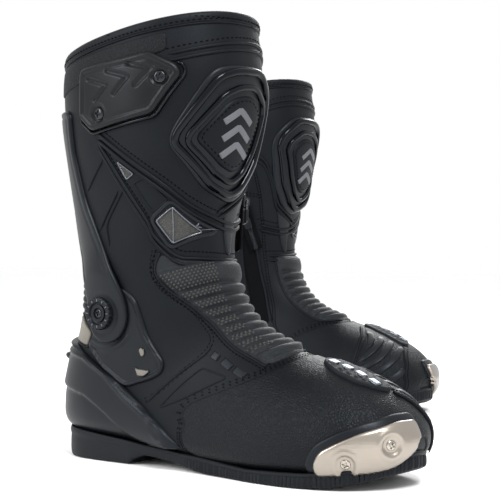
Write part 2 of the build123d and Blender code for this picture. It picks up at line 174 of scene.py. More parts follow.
# name: the record's material slot, base colour, roughness with grain and bump, and the rest
LOOKS = {
    "smooth_leather": ("upper_leather", (0.0036, 0.0042, 0.0056), (0.46, 1500, 0.3), dict(shine=0.13)),
    "grained_leather": ("upper_leather", (0.0036, 0.0042, 0.0054), (0.43, 520, 0.9),
                        dict(pattern="VORONOI", shine=0.14)),
    "rough_patch": ("upper_leather", (0.0032, 0.0034, 0.0040), (0.55, 420, 1.0),
                    dict(pattern="VORONOI", shine=0.16)),
    "moulded": ("moulded_plastic", (0.0048, 0.0056, 0.0074), (0.36, 2200, 0.15), dict(shine=0.20)),
    "satin_plate": ("moulded_plastic", (0.0062, 0.0062, 0.0068), (0.34, 2600, 0.12), dict(shine=0.17)),
    "gloss": ("gloss_trim", (0.0016, 0.0018, 0.0028), (0.11,), dict(spread=0.1, shine=0.20)),
    "rubber": ("sole_rubber", (0.0052, 0.0060, 0.0076), (0.55, 1800, 0.4), dict(shine=0.18)),
    "steel": ("slider_steel", (0.37, 0.33, 0.285), (0.31, 900, 0.16), dict(metal=1.0, spread=0.08,
              pattern="BRUSHED")),
    "bright_steel": ("screw_steel", (0.46, 0.42, 0.37), (0.22,), dict(metal=1.0, spread=0.1)),
    "silver": ("silver_trim", (0.11, 0.115, 0.13), (0.26,), dict(metal=0.9, spread=0.1)),
    "silver_mesh": ("silver_trim", (0.045, 0.045, 0.042), (0.45, 1100, 1.0),
                    dict(metal=0.7, pattern="VORONOI")),
    "reflective": ("reflective_trim", (0.17, 0.155, 0.13), (0.5, 2600, 0.4), dict(pattern="VORONOI")),
    "grey_print": ("reflective_trim", (0.105, 0.108, 0.118), (0.5, 2400, 0.2), {}),
    "black_metal": ("black_metal", (0.004, 0.004, 0.005), (0.25,), dict(metal=0.1, spread=0.2)),
    "grip_fabric": ("grip_fabric", (0.0056, 0.0062, 0.0074), (0.46, 1300, 0.8),
                    dict(pattern="VORONOI", shine=0.28)),
    "print_dots": ("grip_fabric", (0.022, 0.019, 0.0135), (0.34,), dict(spread=0.35, shine=0.5)),
    "thread": ("upper_leather", (0.0010, 0.0011, 0.0015), (0.6, 2500, 0.5), dict(shine=0.05)),
    "tape": ("zip_tape", (0.0020, 0.0020, 0.0026), (0.8, 1500, 0.8), dict(shine=0.08)),
    "lining": ("lining_fabric", (0.006, 0.006, 0.007), (0.85, 900, 1.0), dict(pattern="VORONOI", shine=0.15)),
    "board": ("board_plastic", (0.02, 0.02, 0.021), (0.7, 900, 0.3), {}),
}
FINISHES = {name: finish(name, base, *plain, **rest)
            for name, (slot, base, plain, rest) in LOOKS.items()}

# ---------------------------------------------------------------- shape of the boot
# The same cross-sections as the CAD model, from the collar to the toe, with one more to round the
# toe off: front x, front z, back x, back z, outer and inner half width, the widest place as a
# fraction of the length from the front, and the squareness of the front and back halves.
SECTIONS = np.array([
    (89, 328, -62, 298, 60, 60, 0.50, 2.2, 2.2),
    (92, 306, -64, 276, 62, 62, 0.50, 2.2, 2.2),
    (94, 281, -63, 248, 61, 61, 0.50, 2.2, 2.2),
    (90, 250, -58, 216, 58, 58, 0.50, 2.2, 2.2),
    (83, 218, -53, 185, 54, 54, 0.50, 2.2, 2.2),
    (75, 190, -49, 156, 50, 50, 0.50, 2.2, 2.2),
    (72, 166, -48, 127, 47, 46, 0.50, 2.2, 2.2),
    (75, 143, -53, 98, 44, 43, 0.52, 2.2, 2.2),
    (84, 122, -63, 68, 42, 40, 0.55, 2.2, 2.3),
    (98, 106, -68, 40, 41, 38, 0.58, 2.2, 2.5),
    (116, 95, -56, 22, 41, 38, 0.62, 2.2, 2.8),
    (136, 88, 5, 16, 43, 38, 0.66, 2.2, 3.2),
    (156, 82, 70, 9, 48, 41, 0.70, 2.2, 3.6),
    (177, 77, 130, 6, 53, 47, 0.74, 2.2, 3.8),
    (198, 69, 178, 7, 52, 49, 0.74, 2.2, 3.8),
    (215, 60, 206, 10, 44, 43, 0.70, 2.2, 3.4),
    (227, 49, 222, 14, 33, 34, 0.60, 2.2, 3.0),
    (234, 38, 232, 20, 18, 19, 0.50, 2.2, 2.4),
    (236, 33, 235, 25, 8, 8, 0.50, 2.2, 2.2),
], float)
LAST = len(SECTIONS) - 1


def row_at(v):
    """The section at a place between the rows, on a smooth curve through them."""
    v = np.clip(np.asarray(v, float), 0, LAST)
    i = np.minimum(v.astype(int), LAST - 1)
    t = (v - i)[:, None]
    p = [SECTIONS[np.clip(i + k, 0, LAST)] for k in (-1, 0, 1, 2)]
    return 0.5 * (2 * p[1] + (p[2] - p[0]) * t + (2 * p[0] - 5 * p[1] + 4 * p[2] - p[3]) * t ** 2
                  + (3 * p[1] - p[0] - 3 * p[2] + p[3]) * t ** 3)


def boot_point(u, v, grow=0.0):
    """A point of the boot: u turns from the front (0) over the outer side, v runs down the rows."""
    r = row_at(v)
    along = r[:, 2:4] - r[:, 0:2]
    length = np.linalg.norm(along, axis=1)
    along = along / length[:, None]
    c, s = np.cos(u), np.sin(u)
    power = 2 / np.where(c >= 0, r[:, 7], r[:, 8])
    half_length = (length + 2 * grow) * np.where(c >= 0, r[:, 6], 1 - r[:, 6])
    a = half_length * np.sign(c) * np.abs(c) ** power
    b = (grow + np.where(s >= 0, r[:, 4], r[:, 5])) * np.sign(s) * np.abs(s) ** power
    centre = r[:, 0:2] + along * ((length + 2 * grow) * r[:, 6] - grow)[:, None]
    return np.stack([centre[:, 0] - along[:, 0] * a, -b, centre[:, 1] - along[:, 1] * a], 1)


GRID_V, GRID_U = 18 * LAST + 1, 240


def make_grid():
    v = np.repeat(np.linspace(0, LAST, GRID_V), GRID_U)
    u = np.tile(np.arange(GRID_U) * 2 * math.pi / GRID_U, GRID_V)
    points = boot_point(u, v).reshape(GRID_V, GRID_U, 3)
    du = np.roll(points, -1, 1) - np.roll(points, 1, 1)
    dv = np.gradient(points, axis=0)
    normal = np.cross(dv, du)
    for _ in range(3):
        normal = normal / np.linalg.norm(normal, axis=2, keepdims=True)
        normal = normal + 0.5 * (np.roll(normal, 1, 1) + np.roll(normal, -1, 1))
    normal = normal / np.linalg.norm(normal, axis=2, keepdims=True)
    outward = points - points.mean(1, keepdims=True)
    if (normal * outward).sum() < 0:
        normal = -normal
    return points, normal


GRID, GRID_NORMAL = make_grid()
cell = np.arange((GRID_V - 1) * GRID_U).reshape(GRID_V - 1, GRID_U)
CELLS = np.stack([cell, np.roll(cell, -1, 1), np.roll(cell, -1, 1) + GRID_U, cell + GRID_U], -1).reshape(-1,
                                                                                                         4)
TREE = BVHTree.FromPolygons(GRID.reshape(-1, 3).tolist(), CELLS.tolist())
FLAT_POINTS, FLAT_NORMALS = GRID.reshape(-1, 3), GRID_NORMAL.reshape(-1, 3)


def smooth_normals(places, faces):
    """Normals at points on the grid, blended from the corners of the cells they lie in."""
    corners = CELLS[faces]
    gap = np.linalg.norm(FLAT_POINTS[corners] - places[:, None], axis=2)
    weight = 1 / (gap + 0.05)
    normal = (FLAT_NORMALS[corners] * weight[..., None]).sum(1)
    return normal / np.linalg.norm(normal, axis=1, keepdims=True)


class Straight:
    """A flat chart: outlines drawn in a view of the boot, laid on its surface along the view."""

    def __init__(self, right, up, toward):
        self.right, self.up, self.toward = (np.array(axis, float) for axis in (right, up, toward))

    def flat(self, points):
        points = np.asarray(points, float)
        if points.shape[1] == 2:
            return points
        return np.stack([points @ self.right, points @ self.up], 1)

    def lay(self, flat):
        starts = flat[:, :1] * self.right + flat[:, 1:] * self.up + self.toward * 400
        return cast(starts, np.repeat(-self.toward[None], len(flat), 0), self.toward * 370)


class Round:
    """A chart wound about an upright axis: outlines in (angle, z), with 0 in front, outer side -90."""

    def __init__(self, axis_x, radius, start=-180):
        self.axis_x, self.radius, self.start = axis_x, radius, start

    def flat(self, points):
        points = np.asarray(points, float)
        if points.shape[1] == 2:
            return np.stack([np.radians(points[:, 0]) * self.radius, points[:, 1]], 1)
        angle = np.degrees(np.arctan2(points[:, 1], points[:, 0] - self.axis_x))
        angle = (angle - self.start) % 360 + self.start
        return np.stack([np.radians(angle) * self.radius, points[:, 2]], 1)

    def lay(self, flat):
        angle = flat[:, 0] / self.radius
        out = np.stack([np.cos(angle), np.sin(angle), np.zeros(len(flat))], 1)
        starts = out * 400 + np.stack([np.full(len(flat), self.axis_x), np.zeros(len(flat)), flat[:, 1]], 1)
        return cast(starts, -out, None)


class Along:
    """A chart along the rows: a runs round the section in millimetres, b down the front line."""

    RADIUS = 45.0
    front = boot_point(np.zeros(GRID_V), np.linspace(0, LAST, GRID_V))
    length = np.concatenate([[0], np.cumsum(np.linalg.norm(np.diff(front, axis=0), axis=1))])

    def flat(self, points):
        points = np.asarray(points, float)
        if points.shape[1] == 2:
            return np.stack([np.radians(points[:, 0]) * self.RADIUS,
                             np.interp(points[:, 1], np.linspace(0, LAST, GRID_V), self.length)], 1)
        found = []
        for point in points:
            nearest = int(np.argmin(((FLAT_POINTS - point) ** 2).sum(1)))
            turn = (nearest % GRID_U) * 2 * math.pi / GRID_U
            turn = turn - 2 * math.pi if turn > math.pi else turn
            found.append((turn * self.RADIUS, self.length[nearest // GRID_U]))
        return np.array(found)

    def lay(self, flat):
        row = np.interp(flat[:, 1], self.length, np.arange(GRID_V))
        column = (flat[:, 0] / self.RADIUS / (2 * math.pi) * GRID_U) % GRID_U
        i = np.minimum(row.astype(int), GRID_V - 2)
        j = column.astype(int) % GRID_U
        s, t = (row - i)[:, None], (column - np.floor(column))[:, None]
        k = (j + 1) % GRID_U
        mixed = []
        for values in (GRID, GRID_NORMAL):
            mixed.append((values[i, j] * (1 - t) + values[i, k] * t) * (1 - s)
                         + (values[i + 1, j] * (1 - t) + values[i + 1, k] * t) * s)
        return mixed[0], mixed[1] / np.linalg.norm(mixed[1], axis=1, keepdims=True)


def cast(starts, directions, fallback):
    """Where rays meet the boot, and the normals there. A ray that misses takes the nearest point."""
    places, faces = [], []
    for start, direction in zip(starts, directions):
        hit = TREE.ray_cast(Vector(start), Vector(direction))
        if hit[0] is None:
            middle = start + direction * 400 if fallback is None else start - fallback
            hit = TREE.find_nearest(Vector(middle))
        places.append(hit[0])
        faces.append(hit[2])
    places = np.array(places, float)
    return places, smooth_normals(places, np.array(faces))


OUTER = Straight((1, 0, 0), (0, 0, 1), (0, -1, 0))      # outlines in (x, z)
INNER = Straight((1, 0, 0), (0, 0, 1), (0, 1, 0))
ABOVE = Straight((1, 0, 0), (0, 1, 0), (0, 0, 1))       # outlines in (x, y)
SHAFT = Round(12, 58)
SHAFT_BACK = Round(12, 58, 0)
HEEL = Round(-5, 45, 0)
TOE = Round(180, 48)
ROWS = Along()


# ---------------------------------------------------------------- outlines
def resample(path, step, closed=False):
    path = np.asarray(path, float)
    if closed:
        path = np.vstack([path, path[:1]])
    run = np.concatenate([[0], np.cumsum(np.linalg.norm(np.diff(path, axis=0), axis=1))])
    count = max(int(round(run[-1] / step)), 3)
    at = np.linspace(0, run[-1], count + 1)
    if closed:
        at = at[:-1]
    return np.stack([np.interp(at, run, path[:, k]) for k in range(path.shape[1])], 1)


def soften(path, corner, closed=False):
    """Round every corner of a path with a short curve."""
    path = np.asarray(path, float)
    fresh = np.linalg.norm(path - np.roll(path, 1, 0), axis=1) > 0.05
    path = path[fresh | (np.arange(len(path)) == 0)]
    count = len(path)
    result = [] if closed else [path[0]]
    for i in (range(count) if closed else range(1, count - 1)):
        before, here, after = path[i - 1], path[i], path[(i + 1) % count]
        back, ahead = before - here, after - here
        reach_back = min(corner, np.linalg.norm(back) * 0.45)
        reach_ahead = min(corner, np.linalg.norm(ahead) * 0.45)
        p = here + back / np.linalg.norm(back) * reach_back
        q = here + ahead / np.linalg.norm(ahead) * reach_ahead
        for t in np.linspace(0, 1, 6):
            result.append((1 - t) ** 2 * p + 2 * t * (1 - t) * here + t ** 2 * q)
    if not closed:
        result.append(path[-1])
    return np.array(result)


def inward(loop):
    """Unit normals of a closed loop, pointing to its inside."""
    tangent = np.roll(loop, -1, 0) - np.roll(loop, 1, 0)
    tangent = tangent / (np.linalg.norm(tangent, axis=1, keepdims=True) + 1e-9)
    normal = np.stack([-tangent[:, 1], tangent[:, 0]], 1)
    x, y = loop[:, 0], loop[:, 1]
    area = (x * np.roll(y, -1) - np.roll(x, -1) * y).sum()
    return normal if area > 0 else -normal


def distance(points, path, closed=False):
    """The distance from points to a path."""
    path = np.asarray(path, float)
    a = path if closed else path[:-1]
    b = np.roll(path, -1, 0) if closed else path[1:]
    best = np.full(len(points), 1e9)
    for p, q in zip(a, b):
        d = q - p
        t = np.clip(((points - p) @ d) / max(d @ d, 1e-9), 0, 1)
        best = np.minimum(best, np.linalg.norm(points - p - t[:, None] * d, axis=1))
    return best


def inside(points, loop):
    result = np.zeros(len(points), bool)
    x, y = points[:, 0], points[:, 1]
    for (x0, y0), (x1, y1) in zip(loop, np.roll(loop, -1, 0)):
        if y0 == y1:
            continue
        crosses = ((y0 > y) != (y1 > y)) & (x < (x1 - x0) * (y - y0) / (y1 - y0) + x0)
        result ^= crosses
    return result


def bell(d, width):
    return np.exp(-(d / width) ** 2)


def ease(t):
    t = np.clip(t, 0, 1)
    return t * t * (3 - 2 * t)


# ---------------------------------------------------------------- making pieces
def emit(name, points, faces, look, carrier, replaced=(), sharp=None):
    """Make a piece for both boots. The carrier is a body's name, or "ankle" for soft pieces."""
    points = np.asarray(points, float)
    for side in ("right", "left"):
        place, order = points, faces
        if side == "left":
            place = place * (1, -1, 1) + LEFT_SHIFT
            order = [tuple(reversed(face)) for face in faces]
        mesh = bpy.data.meshes.new(f"{side}_{name}")
        mesh.from_pydata((place * MM).tolist(), [], order)
        mesh.validate()
        mesh.materials.append(FINISHES[look])
        mesh.shade_smooth()
        if sharp is not None:
            mesh.set_sharp_from_angle(angle=math.radians(sharp))
        piece = add_object(f"{side}_{name}", mesh)
        if carrier == "ankle":
            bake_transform(piece)
        else:
            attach(piece, f"{side}_{carrier}")
        for node in replaced:
            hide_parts(f"{side}_{node}")


def join(parts):
    """Several (points, faces) in one."""
    points, faces, count = [], [], 0
    for part_points, part_faces in parts:
        points.append(np.asarray(part_points, float))
        faces += [tuple(int(i) + count for i in face) for face in part_faces]
        count += len(part_points)
    return np.vstack(points), faces


def ring_faces(rings, count, closed=False):
    """Quads between rings of points, with the last ring joined to the first if closed."""
    return [(i * count + k, i * count + (k + 1) % count, (i + 1) % rings * count + (k + 1) % count,
            (i + 1) % rings * count + k) for i in range(rings if closed else rings - 1) for k in range(count)]


def triangulate(loop, seeds):
    """Fill a flat loop with triangles that also meet the seed points."""
    count = len(loop)
    edges = [(i, (i + 1) % count) for i in range(count)]
    result = delaunay_2d_cdt([Vector(p) for p in np.vstack([loop] + seeds)], edges, [], 1, 1e-6)
    return np.array([(p.x, p.y) for p in result[0]]), np.array([tuple(face) for face in result[2]])


def panel(chart, outline, thick, lift=0.0, edge=1.4, step=2.0, corner=4.0, relief=None, depth=ROOT):
    """A closed slab on the boot's surface inside an outline, with a rounded edge and a relief."""
    loop = resample(soften(chart.flat(outline), corner, True), step * 0.8, True)
    normal = inward(loop)
    seeds = []
    for share in (0.2, 0.55, 1.0):
        ring = loop + normal * edge * share
        keep = inside(ring, loop) & (distance(ring, loop, True) > edge * share * 0.85)
        seeds.append(ring[keep])
    low, high = loop.min(0), loop.max(0)
    xs = np.arange(low[0], high[0] + step, step)
    ys = np.arange(low[1], high[1] + step, step * 0.87)
    lattice = np.array([(x + (step / 2 if j % 2 else 0), y) for j, y in enumerate(ys) for x in xs])
    lattice = lattice[inside(lattice, loop)]
    lattice = lattice[distance(lattice, loop, True) > edge + step * 0.5]
    seeds.append(lattice)
    flat, t = triangulate(loop, seeds)
    d = distance(flat, loop, True)
    places, normals = chart.lay(flat)
    height = thick * np.sqrt(np.clip(1 - (1 - np.clip(d / edge, 0, 1)) ** 2, 0, 1))
    if relief is not None:
        height = height + relief(flat, d) * ease(d / edge)
    base = lift(flat) if callable(lift) else np.full(len(flat), float(lift))
    top = places + normals * (base + height)[:, None]
    bottom = places + normals * (base - depth)[:, None]
    facing = np.cross(top[t[:, 1]] - top[t[:, 0]], top[t[:, 2]] - top[t[:, 0]])
    if (facing * normals[t[:, 0]]).sum() < 0:
        t = t[:, ::-1]
    n = len(flat)
    faces = [tuple(face) for face in t.tolist()] + [tuple(face) for face in (t[:, ::-1] + n).tolist()]
    border = {}
    for a, b, c in t.tolist():
        for p, q in ((a, b), (b, c), (c, a)):
            border[(p, q)] = border.get((p, q), 0) + 1
    for p, q in border:
        if (q, p) not in border:
            faces.append((q, p, p + n, q + n))
    return np.vstack([top, bottom]), faces


def frames(chart, path, closed=False):
    """Points of a path on the boot, with their directions along, across and out."""
    places, out = chart.lay(path)
    if closed:
        along = np.roll(places, -1, 0) - np.roll(places, 1, 0)
    else:
        along = np.gradient(places, axis=0)
    along = along / (np.linalg.norm(along, axis=1, keepdims=True) + 1e-9)
    across = np.cross(out, along)
    across = across / (np.linalg.norm(across, axis=1, keepdims=True) + 1e-9)
    return places, along, across, out


def strip(chart, path, width, height, lift=0.0, closed=False, corner=4.0, step=2.0, flat_top=0.0, taper=0.0):
    """A raised rib along a path, with a round or flat-topped section."""
    path = chart.flat(path)
    path = resample(soften(path, corner, closed), step, closed)
    places, _, across, out = frames(chart, path, closed)
    turns = np.linspace(0, math.pi, 9)
    bend = 2 / (2 + 4 * flat_top)
    section = [(math.copysign(abs(math.cos(t)) ** bend, math.cos(t)) * width / 2,
                math.sin(t) ** bend * height) for t in turns]
    section += [(-width / 2, -ROOT), (width / 2, -ROOT)]
    size = len(section)
    ends = np.ones(len(places))
    if taper and not closed:
        run = np.arange(len(places)) * step
        ends = ease(np.minimum(run, run[::-1]) / taper) * 0.95 + 0.05
    rings = []
    for x, y in section:
        tall = y * ends if y > 0 else np.full(len(places), y)
        rings.append(places + across * (x * ends)[:, None] + out * (lift + tall)[:, None])
    points = np.stack(rings, 1).reshape(-1, 3)
    count = len(places)
    faces = ring_faces(count, size, closed)
    if not closed:
        faces.append(tuple(range(size - 1, -1, -1)))
        faces.append(tuple((count - 1) * size + k for k in range(size)))
    return outward(points, faces)


def outward(points, faces):
    """Turn a closed shape's faces so that they look out."""
    volume = 0.0
    for face in faces:
        a = points[face[0]]
        for k in range(1, len(face) - 1):
            volume += a @ np.cross(points[face[k]], points[face[k + 1]])
    return (points, faces) if volume > 0 else (points, [tuple(reversed(face)) for face in faces])


STITCH = [(x, r * math.cos(t), r * math.sin(t)) for x, r in ((-0.5, 0.12), (-0.3, 0.45), (0.3, 0.45),
          (0.5, 0.12)) for t in np.arange(6) * math.pi / 3]
STITCH_FACES = ring_faces(4, 6) + [(5, 4, 3, 2, 1, 0), (18, 19, 20, 21, 22, 23)]


def stitches(chart, path, lift, rows=(0.0,), closed=False, corner=4.0, pitch=3.2, length=2.2, thick=1.0):
    """Rows of single stitches along a path."""
    path = chart.flat(path)
    smooth = resample(soften(path, corner, closed), pitch, closed)
    places, along, across, out = frames(chart, smooth, closed)
    template = np.array(STITCH)
    parts = []
    for row in rows:
        base = places + across * row + out * lift
        for p, t, b, n in zip(base, along, across, out):
            body = p + template[:, :1] * t * length + template[:, 1:2] * b * thick + template[:,
                                                                                              2:] * n * thick
            parts.append((body, STITCH_FACES))
    return join(parts)


def ring(centre, axis, side, profile, count=48, wave=None):
    """A turned shape: a profile of (radius, height) points about an axis."""
    axis = np.asarray(axis, float) / np.linalg.norm(axis)
    side = np.asarray(side, float) - axis * np.dot(axis, side)
    side = side / np.linalg.norm(side)
    other = np.cross(axis, side)
    points = []
    for k in range(count):
        t = 2 * math.pi * k / count
        for radius, height in profile:
            r = radius + (wave(t, radius, height) if wave else 0)
            points.append(centre + (side * math.cos(t) + other * math.sin(t)) * r + axis * height)
    size = len(profile)
    faces = []
    for k in range(count):
        m = (k + 1) % count
        for i in range(size):
            j = (i + 1) % size
            faces.append((k * size + i, m * size + i, m * size + j, k * size + j))
    return outward(np.array(points), faces)


def screw_head(centre, axis, radius, dome=0.5, cross_depth=1.0, base=1.6):
    """A pan head with a cross recess."""
    axis = np.asarray(axis, float) / np.linalg.norm(axis)
    side = np.cross(axis, (0.3, 0.2, 1.0))
    side = side / np.linalg.norm(side)
    other = np.cross(axis, side)
    turns, rings_count = 48, 12
    points = [centre + axis * (base + dome - cross_depth)]
    for i in range(1, rings_count + 1):
        r = radius * i / rings_count
        for k in range(turns):
            t = 2 * math.pi * k / turns
            x, y = r * math.cos(t), r * math.sin(t)
            slot = min(abs(x), abs(y)) < radius * 0.14 and r < radius * 0.62
            edge_drop = 0.45 * max(0.0, (r / radius - 0.8) / 0.2) ** 2
            h = base + dome * (1 - (r / radius) ** 2) - edge_drop - (cross_depth if slot else 0)
            points.append(centre + side * x + other * y + axis * h)
    for k in range(turns):
        t = 2 * math.pi * k / turns
        points.append(centre + (side * math.cos(t) + other * math.sin(t)) * radius - axis * ROOT)
    points.append(centre - axis * ROOT)
    faces = [(0, 1 + k, 1 + (k + 1) % turns) for k in range(turns)]
    for i in range(rings_count):
        a, b = 1 + i * turns, 1 + (i + 1) * turns
        for k in range(turns):
            m = (k + 1) % turns
            faces.append((a + k, b + k, b + m, a + m))
    last = len(points) - 1
    a = 1 + rings_count * turns
    faces += [(last, a + (k + 1) % turns, a + k) for k in range(turns)]
    return outward(np.array(points), faces)


def at(chart, point):
    """The place and normal on the boot under one point of a chart."""
    places, normals = chart.lay(chart.flat([point]))
    return places[0], normals[0]


def onto(chart, outline):
    """Points of an outline in space, on the boot's surface."""
    return chart.lay(chart.flat(outline))[0]


def screw_heads(chart, screws, lift, radius):
    heads = []
    for screw in screws:
        place, normal = at(chart, screw)
        heads.append(screw_head(place + normal * lift, normal, radius, dome=0.7))
    return join(heads)


# ---------------------------------------------------------------- skin and lining
def double_wall(grow_out, grow_in, v_start, v_end, rows, turns):
    """A closed shell along the boot, open at the top like the boot itself."""
    u = np.arange(turns) * 2 * math.pi / turns
    walls = []
    for grow, end in ((grow_out, v_end), (grow_in, min(v_end, LAST - 0.7))):
        v = np.linspace(v_start, end, rows)
        walls.append(boot_point(np.tile(u, rows), np.repeat(v, turns), grow))
    one = ring_faces(rows, turns) + [tuple(range((rows - 1) * turns, rows * turns))]
    faces = one + [tuple(i + rows * turns for i in face)[::-1] for face in one]
    second = rows * turns
    faces += [((k + 1) % turns, k, second + k, second + (k + 1) % turns) for k in range(turns)]
    return outward(np.vstack(walls), faces)


def make_skin():
    points, faces = double_wall(0, -2.4, 0.15, LAST, 200, 180)
    emit("skin", points, faces, "smooth_leather", "ankle",
         ("foot_upper", "shaft_shell", "front_bellows", "rear_bellows"))
    points, faces = double_wall(-2.6, -5.0, 0.2, LAST - 2.2, 90, 120)
    emit("inner_lining", points, faces, "lining", "ankle", ("shaft_lining",))


COLLAR_ROLL = [(0.34, -1.5, 0), (0.34, 0.7, 0), (0.28, 1.2, 0), (0.14, 1.7, 0), (0.0, 1.6, 0),
               (0.0, 0.9, 1.3), (0.0, -0.8, 2.3), (0.0, -3.0, 2.2), (0.0, -4.8, 1.0), (0.05, -5.6, -0.6),
               (0.5, -5.6, 0), (0.5, -4.6, 0)]


def round_path(v):
    return boot_point(np.linspace(0, 2 * math.pi, 60)[:-1], np.full(59, v))


def make_collar():
    turns = 200
    u = np.arange(turns) * 2 * math.pi / turns
    loops = []
    for v, grow, up in COLLAR_ROLL:
        loop = boot_point(u, np.full(turns, v), grow)
        loop[:, 2] += up
        loops.append(loop)
    points = np.stack(loops, 1).reshape(-1, 3)
    size = len(COLLAR_ROLL)
    emit("collar_roll", *outward(points, ring_faces(turns, size, True)), "smooth_leather", "shaft",
         ("collar",))
    emit("collar_piping", *strip(SHAFT_LOOP, round_path(0.36), 1.6, 1.3, closed=True, corner=2),
         "smooth_leather", "shaft")
    emit("collar_stitches", *stitches(SHAFT_LOOP, round_path(0.24), 1.6, closed=True, corner=2), "thread",
         "shaft")


class Loop(Round):
    """The round chart for closed loops about the axis, whose angles run on past the end."""

    def flat(self, points):
        points = np.asarray(points, float)
        angle = np.unwrap(np.arctan2(points[:, 1], points[:, 0] - self.axis_x))
        return np.stack([angle * self.radius, points[:, 2]], 1)


SHAFT_LOOP = Loop(12, 58)
CALF_OUTLINE = [(-13, 287), (-10, 291), (34, 297), (49, 300), (68, 290), (71, 283), (51, 255), (-2, 244),
                (-15, 255)]
CHEVRONS = [[(34, 291), (52, 287), (40, 276)], [(16, 287), (34, 282), (22, 271)],
            [(-2, 282), (15, 277), (4, 267)]]
CALF_SCREWS = [(57, 281), (6, 257)]


def calf_relief(p, d):
    height = -0.9 * bell(d - 5.5, 0.9) + 0.5 * bell(d - 3.2, 1.2)
    for chevron in CHEVRONS:
        height = height - 1.5 * np.clip(1.9 - distance(p, chevron), 0, 1.0)
    for screw in CALF_SCREWS:
        away = np.linalg.norm(p - screw, axis=1)
        height = height - 2.0 * ease((6.2 - away) / 1.2) + 0.3 * bell(away - 7.0, 0.9)
    return height


def make_calf_plate():
    piece = panel(OUTER, CALF_OUTLINE, 3.4, 0.2, edge=2.2, step=1.1, corner=4, relief=calf_relief)
    emit("calf_guard", *piece, "satin_plate", "shaft", ("calf_plate",))
    lip = [(66, 292), (71.5, 290), (73, 283), (52.5, 253.5), (-2, 242.5), (-17, 254.5)]
    emit("calf_lip", *strip(OUTER, lip, 2.8, 2.9, corner=4, step=1.2, taper=4), "gloss", "shaft")
    emit("calf_screws", *screw_heads(OUTER, CALF_SCREWS, 1.0, 4.4), "black_metal", "shaft",
         ("calf_plate_screws",), sharp=40)


# ---------------------------------------------------------------- shin guard
SHIN_EDGE = [(94, -14, 291), (84, -30, 288), (62, -49, 243), (60, -49, 233), (75, -26, 201), (79, 0, 191),
             (78, 16, 198), (78, 32, 222), (79, 38, 262), (84, 34, 276), (92, 18, 291)]
OUTER_RIDGE = [(93, -14, 286), (87, -27, 281), (65, -46, 241), (64, -46, 234), (77, -22, 205), (80, -4, 198),
               (81, 8, 204), (84, 22, 224), (85, 32, 262), (88, 29, 272), (93, 12, 287)]
INNER_RIDGE = [(93, -10, 275), (88, -22, 269), (71, -40, 240), (71, -40, 234), (79, -20, 213), (82, -6, 207),
               (84, 5, 214), (87, 14, 230), (87, 23, 258), (89, 20, 266), (94, 6, 276)]


def drawn_in(loop, share):
    """A smaller copy of a loop about its middle."""
    middle = np.mean(loop, axis=0)
    return middle + (np.array(loop) - middle) * (1, share, share)


def make_shin_guard():
    emit("shin_base", *panel(SHAFT, SHIN_EDGE, 2.2, 0.1, edge=2.5, step=2.0, corner=8),
         "moulded", "shaft", ("shin_plate",))
    emit("shin_outer_rail", *strip(SHAFT, OUTER_RIDGE, 6.0, 4.2, 1.6, closed=True, corner=5, step=1.2,
         flat_top=0.2), "gloss", "shaft", ("shin_rails",))
    emit("shin_inner_rail", *strip(SHAFT, INNER_RIDGE, 4.8, 3.4, 1.8, closed=True, corner=4, step=1.2,
         flat_top=0.2), "gloss", "shaft")
    pad = drawn_in(INNER_RIDGE, 0.82)
    emit("shin_pad", *panel(SHAFT, pad, 2.6, 1.6, edge=4, step=2.0, corner=4), "smooth_leather", "shaft")
    seam = drawn_in(INNER_RIDGE, 0.70)
    emit("shin_stitches", *stitches(SHAFT, seam, 4.1, closed=True, corner=4), "thread", "shaft")
    marks = []
    for low in (226, 238, 250):
        marks.append(strip(SHAFT, [(83, -20, low), (88, -8, low + 9), (89, 4, low)], 5.0, 0.5, 4.0, corner=1,
                     step=1.5, flat_top=0.8))
    emit("shin_chevrons", *join(marks), "grey_print", "shaft")


# ---------------------------------------------------------------- shaft panels
LOWER_PIPING = [(0, -60, 244), (52, -46, 206), (66, -28, 188), (73, -2, 178), (71, 15, 177), (60, 34, 182)]
SECOND_PIPING = [(1, -59, 238), (19, -55, 211), (40, -46, 177), (42, -44, 168), (56, -33, 152),
                 (64, -25, 152), (73, 5, 150), (66, 26, 150)]
TOP_SEAM = [(60, -50, 297), (78, -36, 302), (88, -14, 307), (90, 14, 309), (84, 32, 306), (72, 44, 300)]
PATCH_EDGE = [(-48, -42, 291), (-37, -49, 294), (8, -61, 303), (50, -56, 311), (60, -51, 313), (61, -52, 300),
              (50, -57, 296), (8, -61, 286), (-36, -50, 276), (-50, -41, 272)]
VENT_SMALL = [(19, 222), (32, 213), (26, 209)]
VENT_LARGE = [(45, 179), (56, 189), (68, 171), (54, 163)]
QUAD = [(31, 206), (40, 210), (54, 194), (43, 185)]
BACK_SEAMS = [[(5, 224), (-16, 201)], [(17, 201), (-6, 171)], [(24, 205), (2, 176), (4, 160)]]


def shifted(path, dz, dx=0):
    return [(x + dx, y, z + dz) for x, y, z in path]


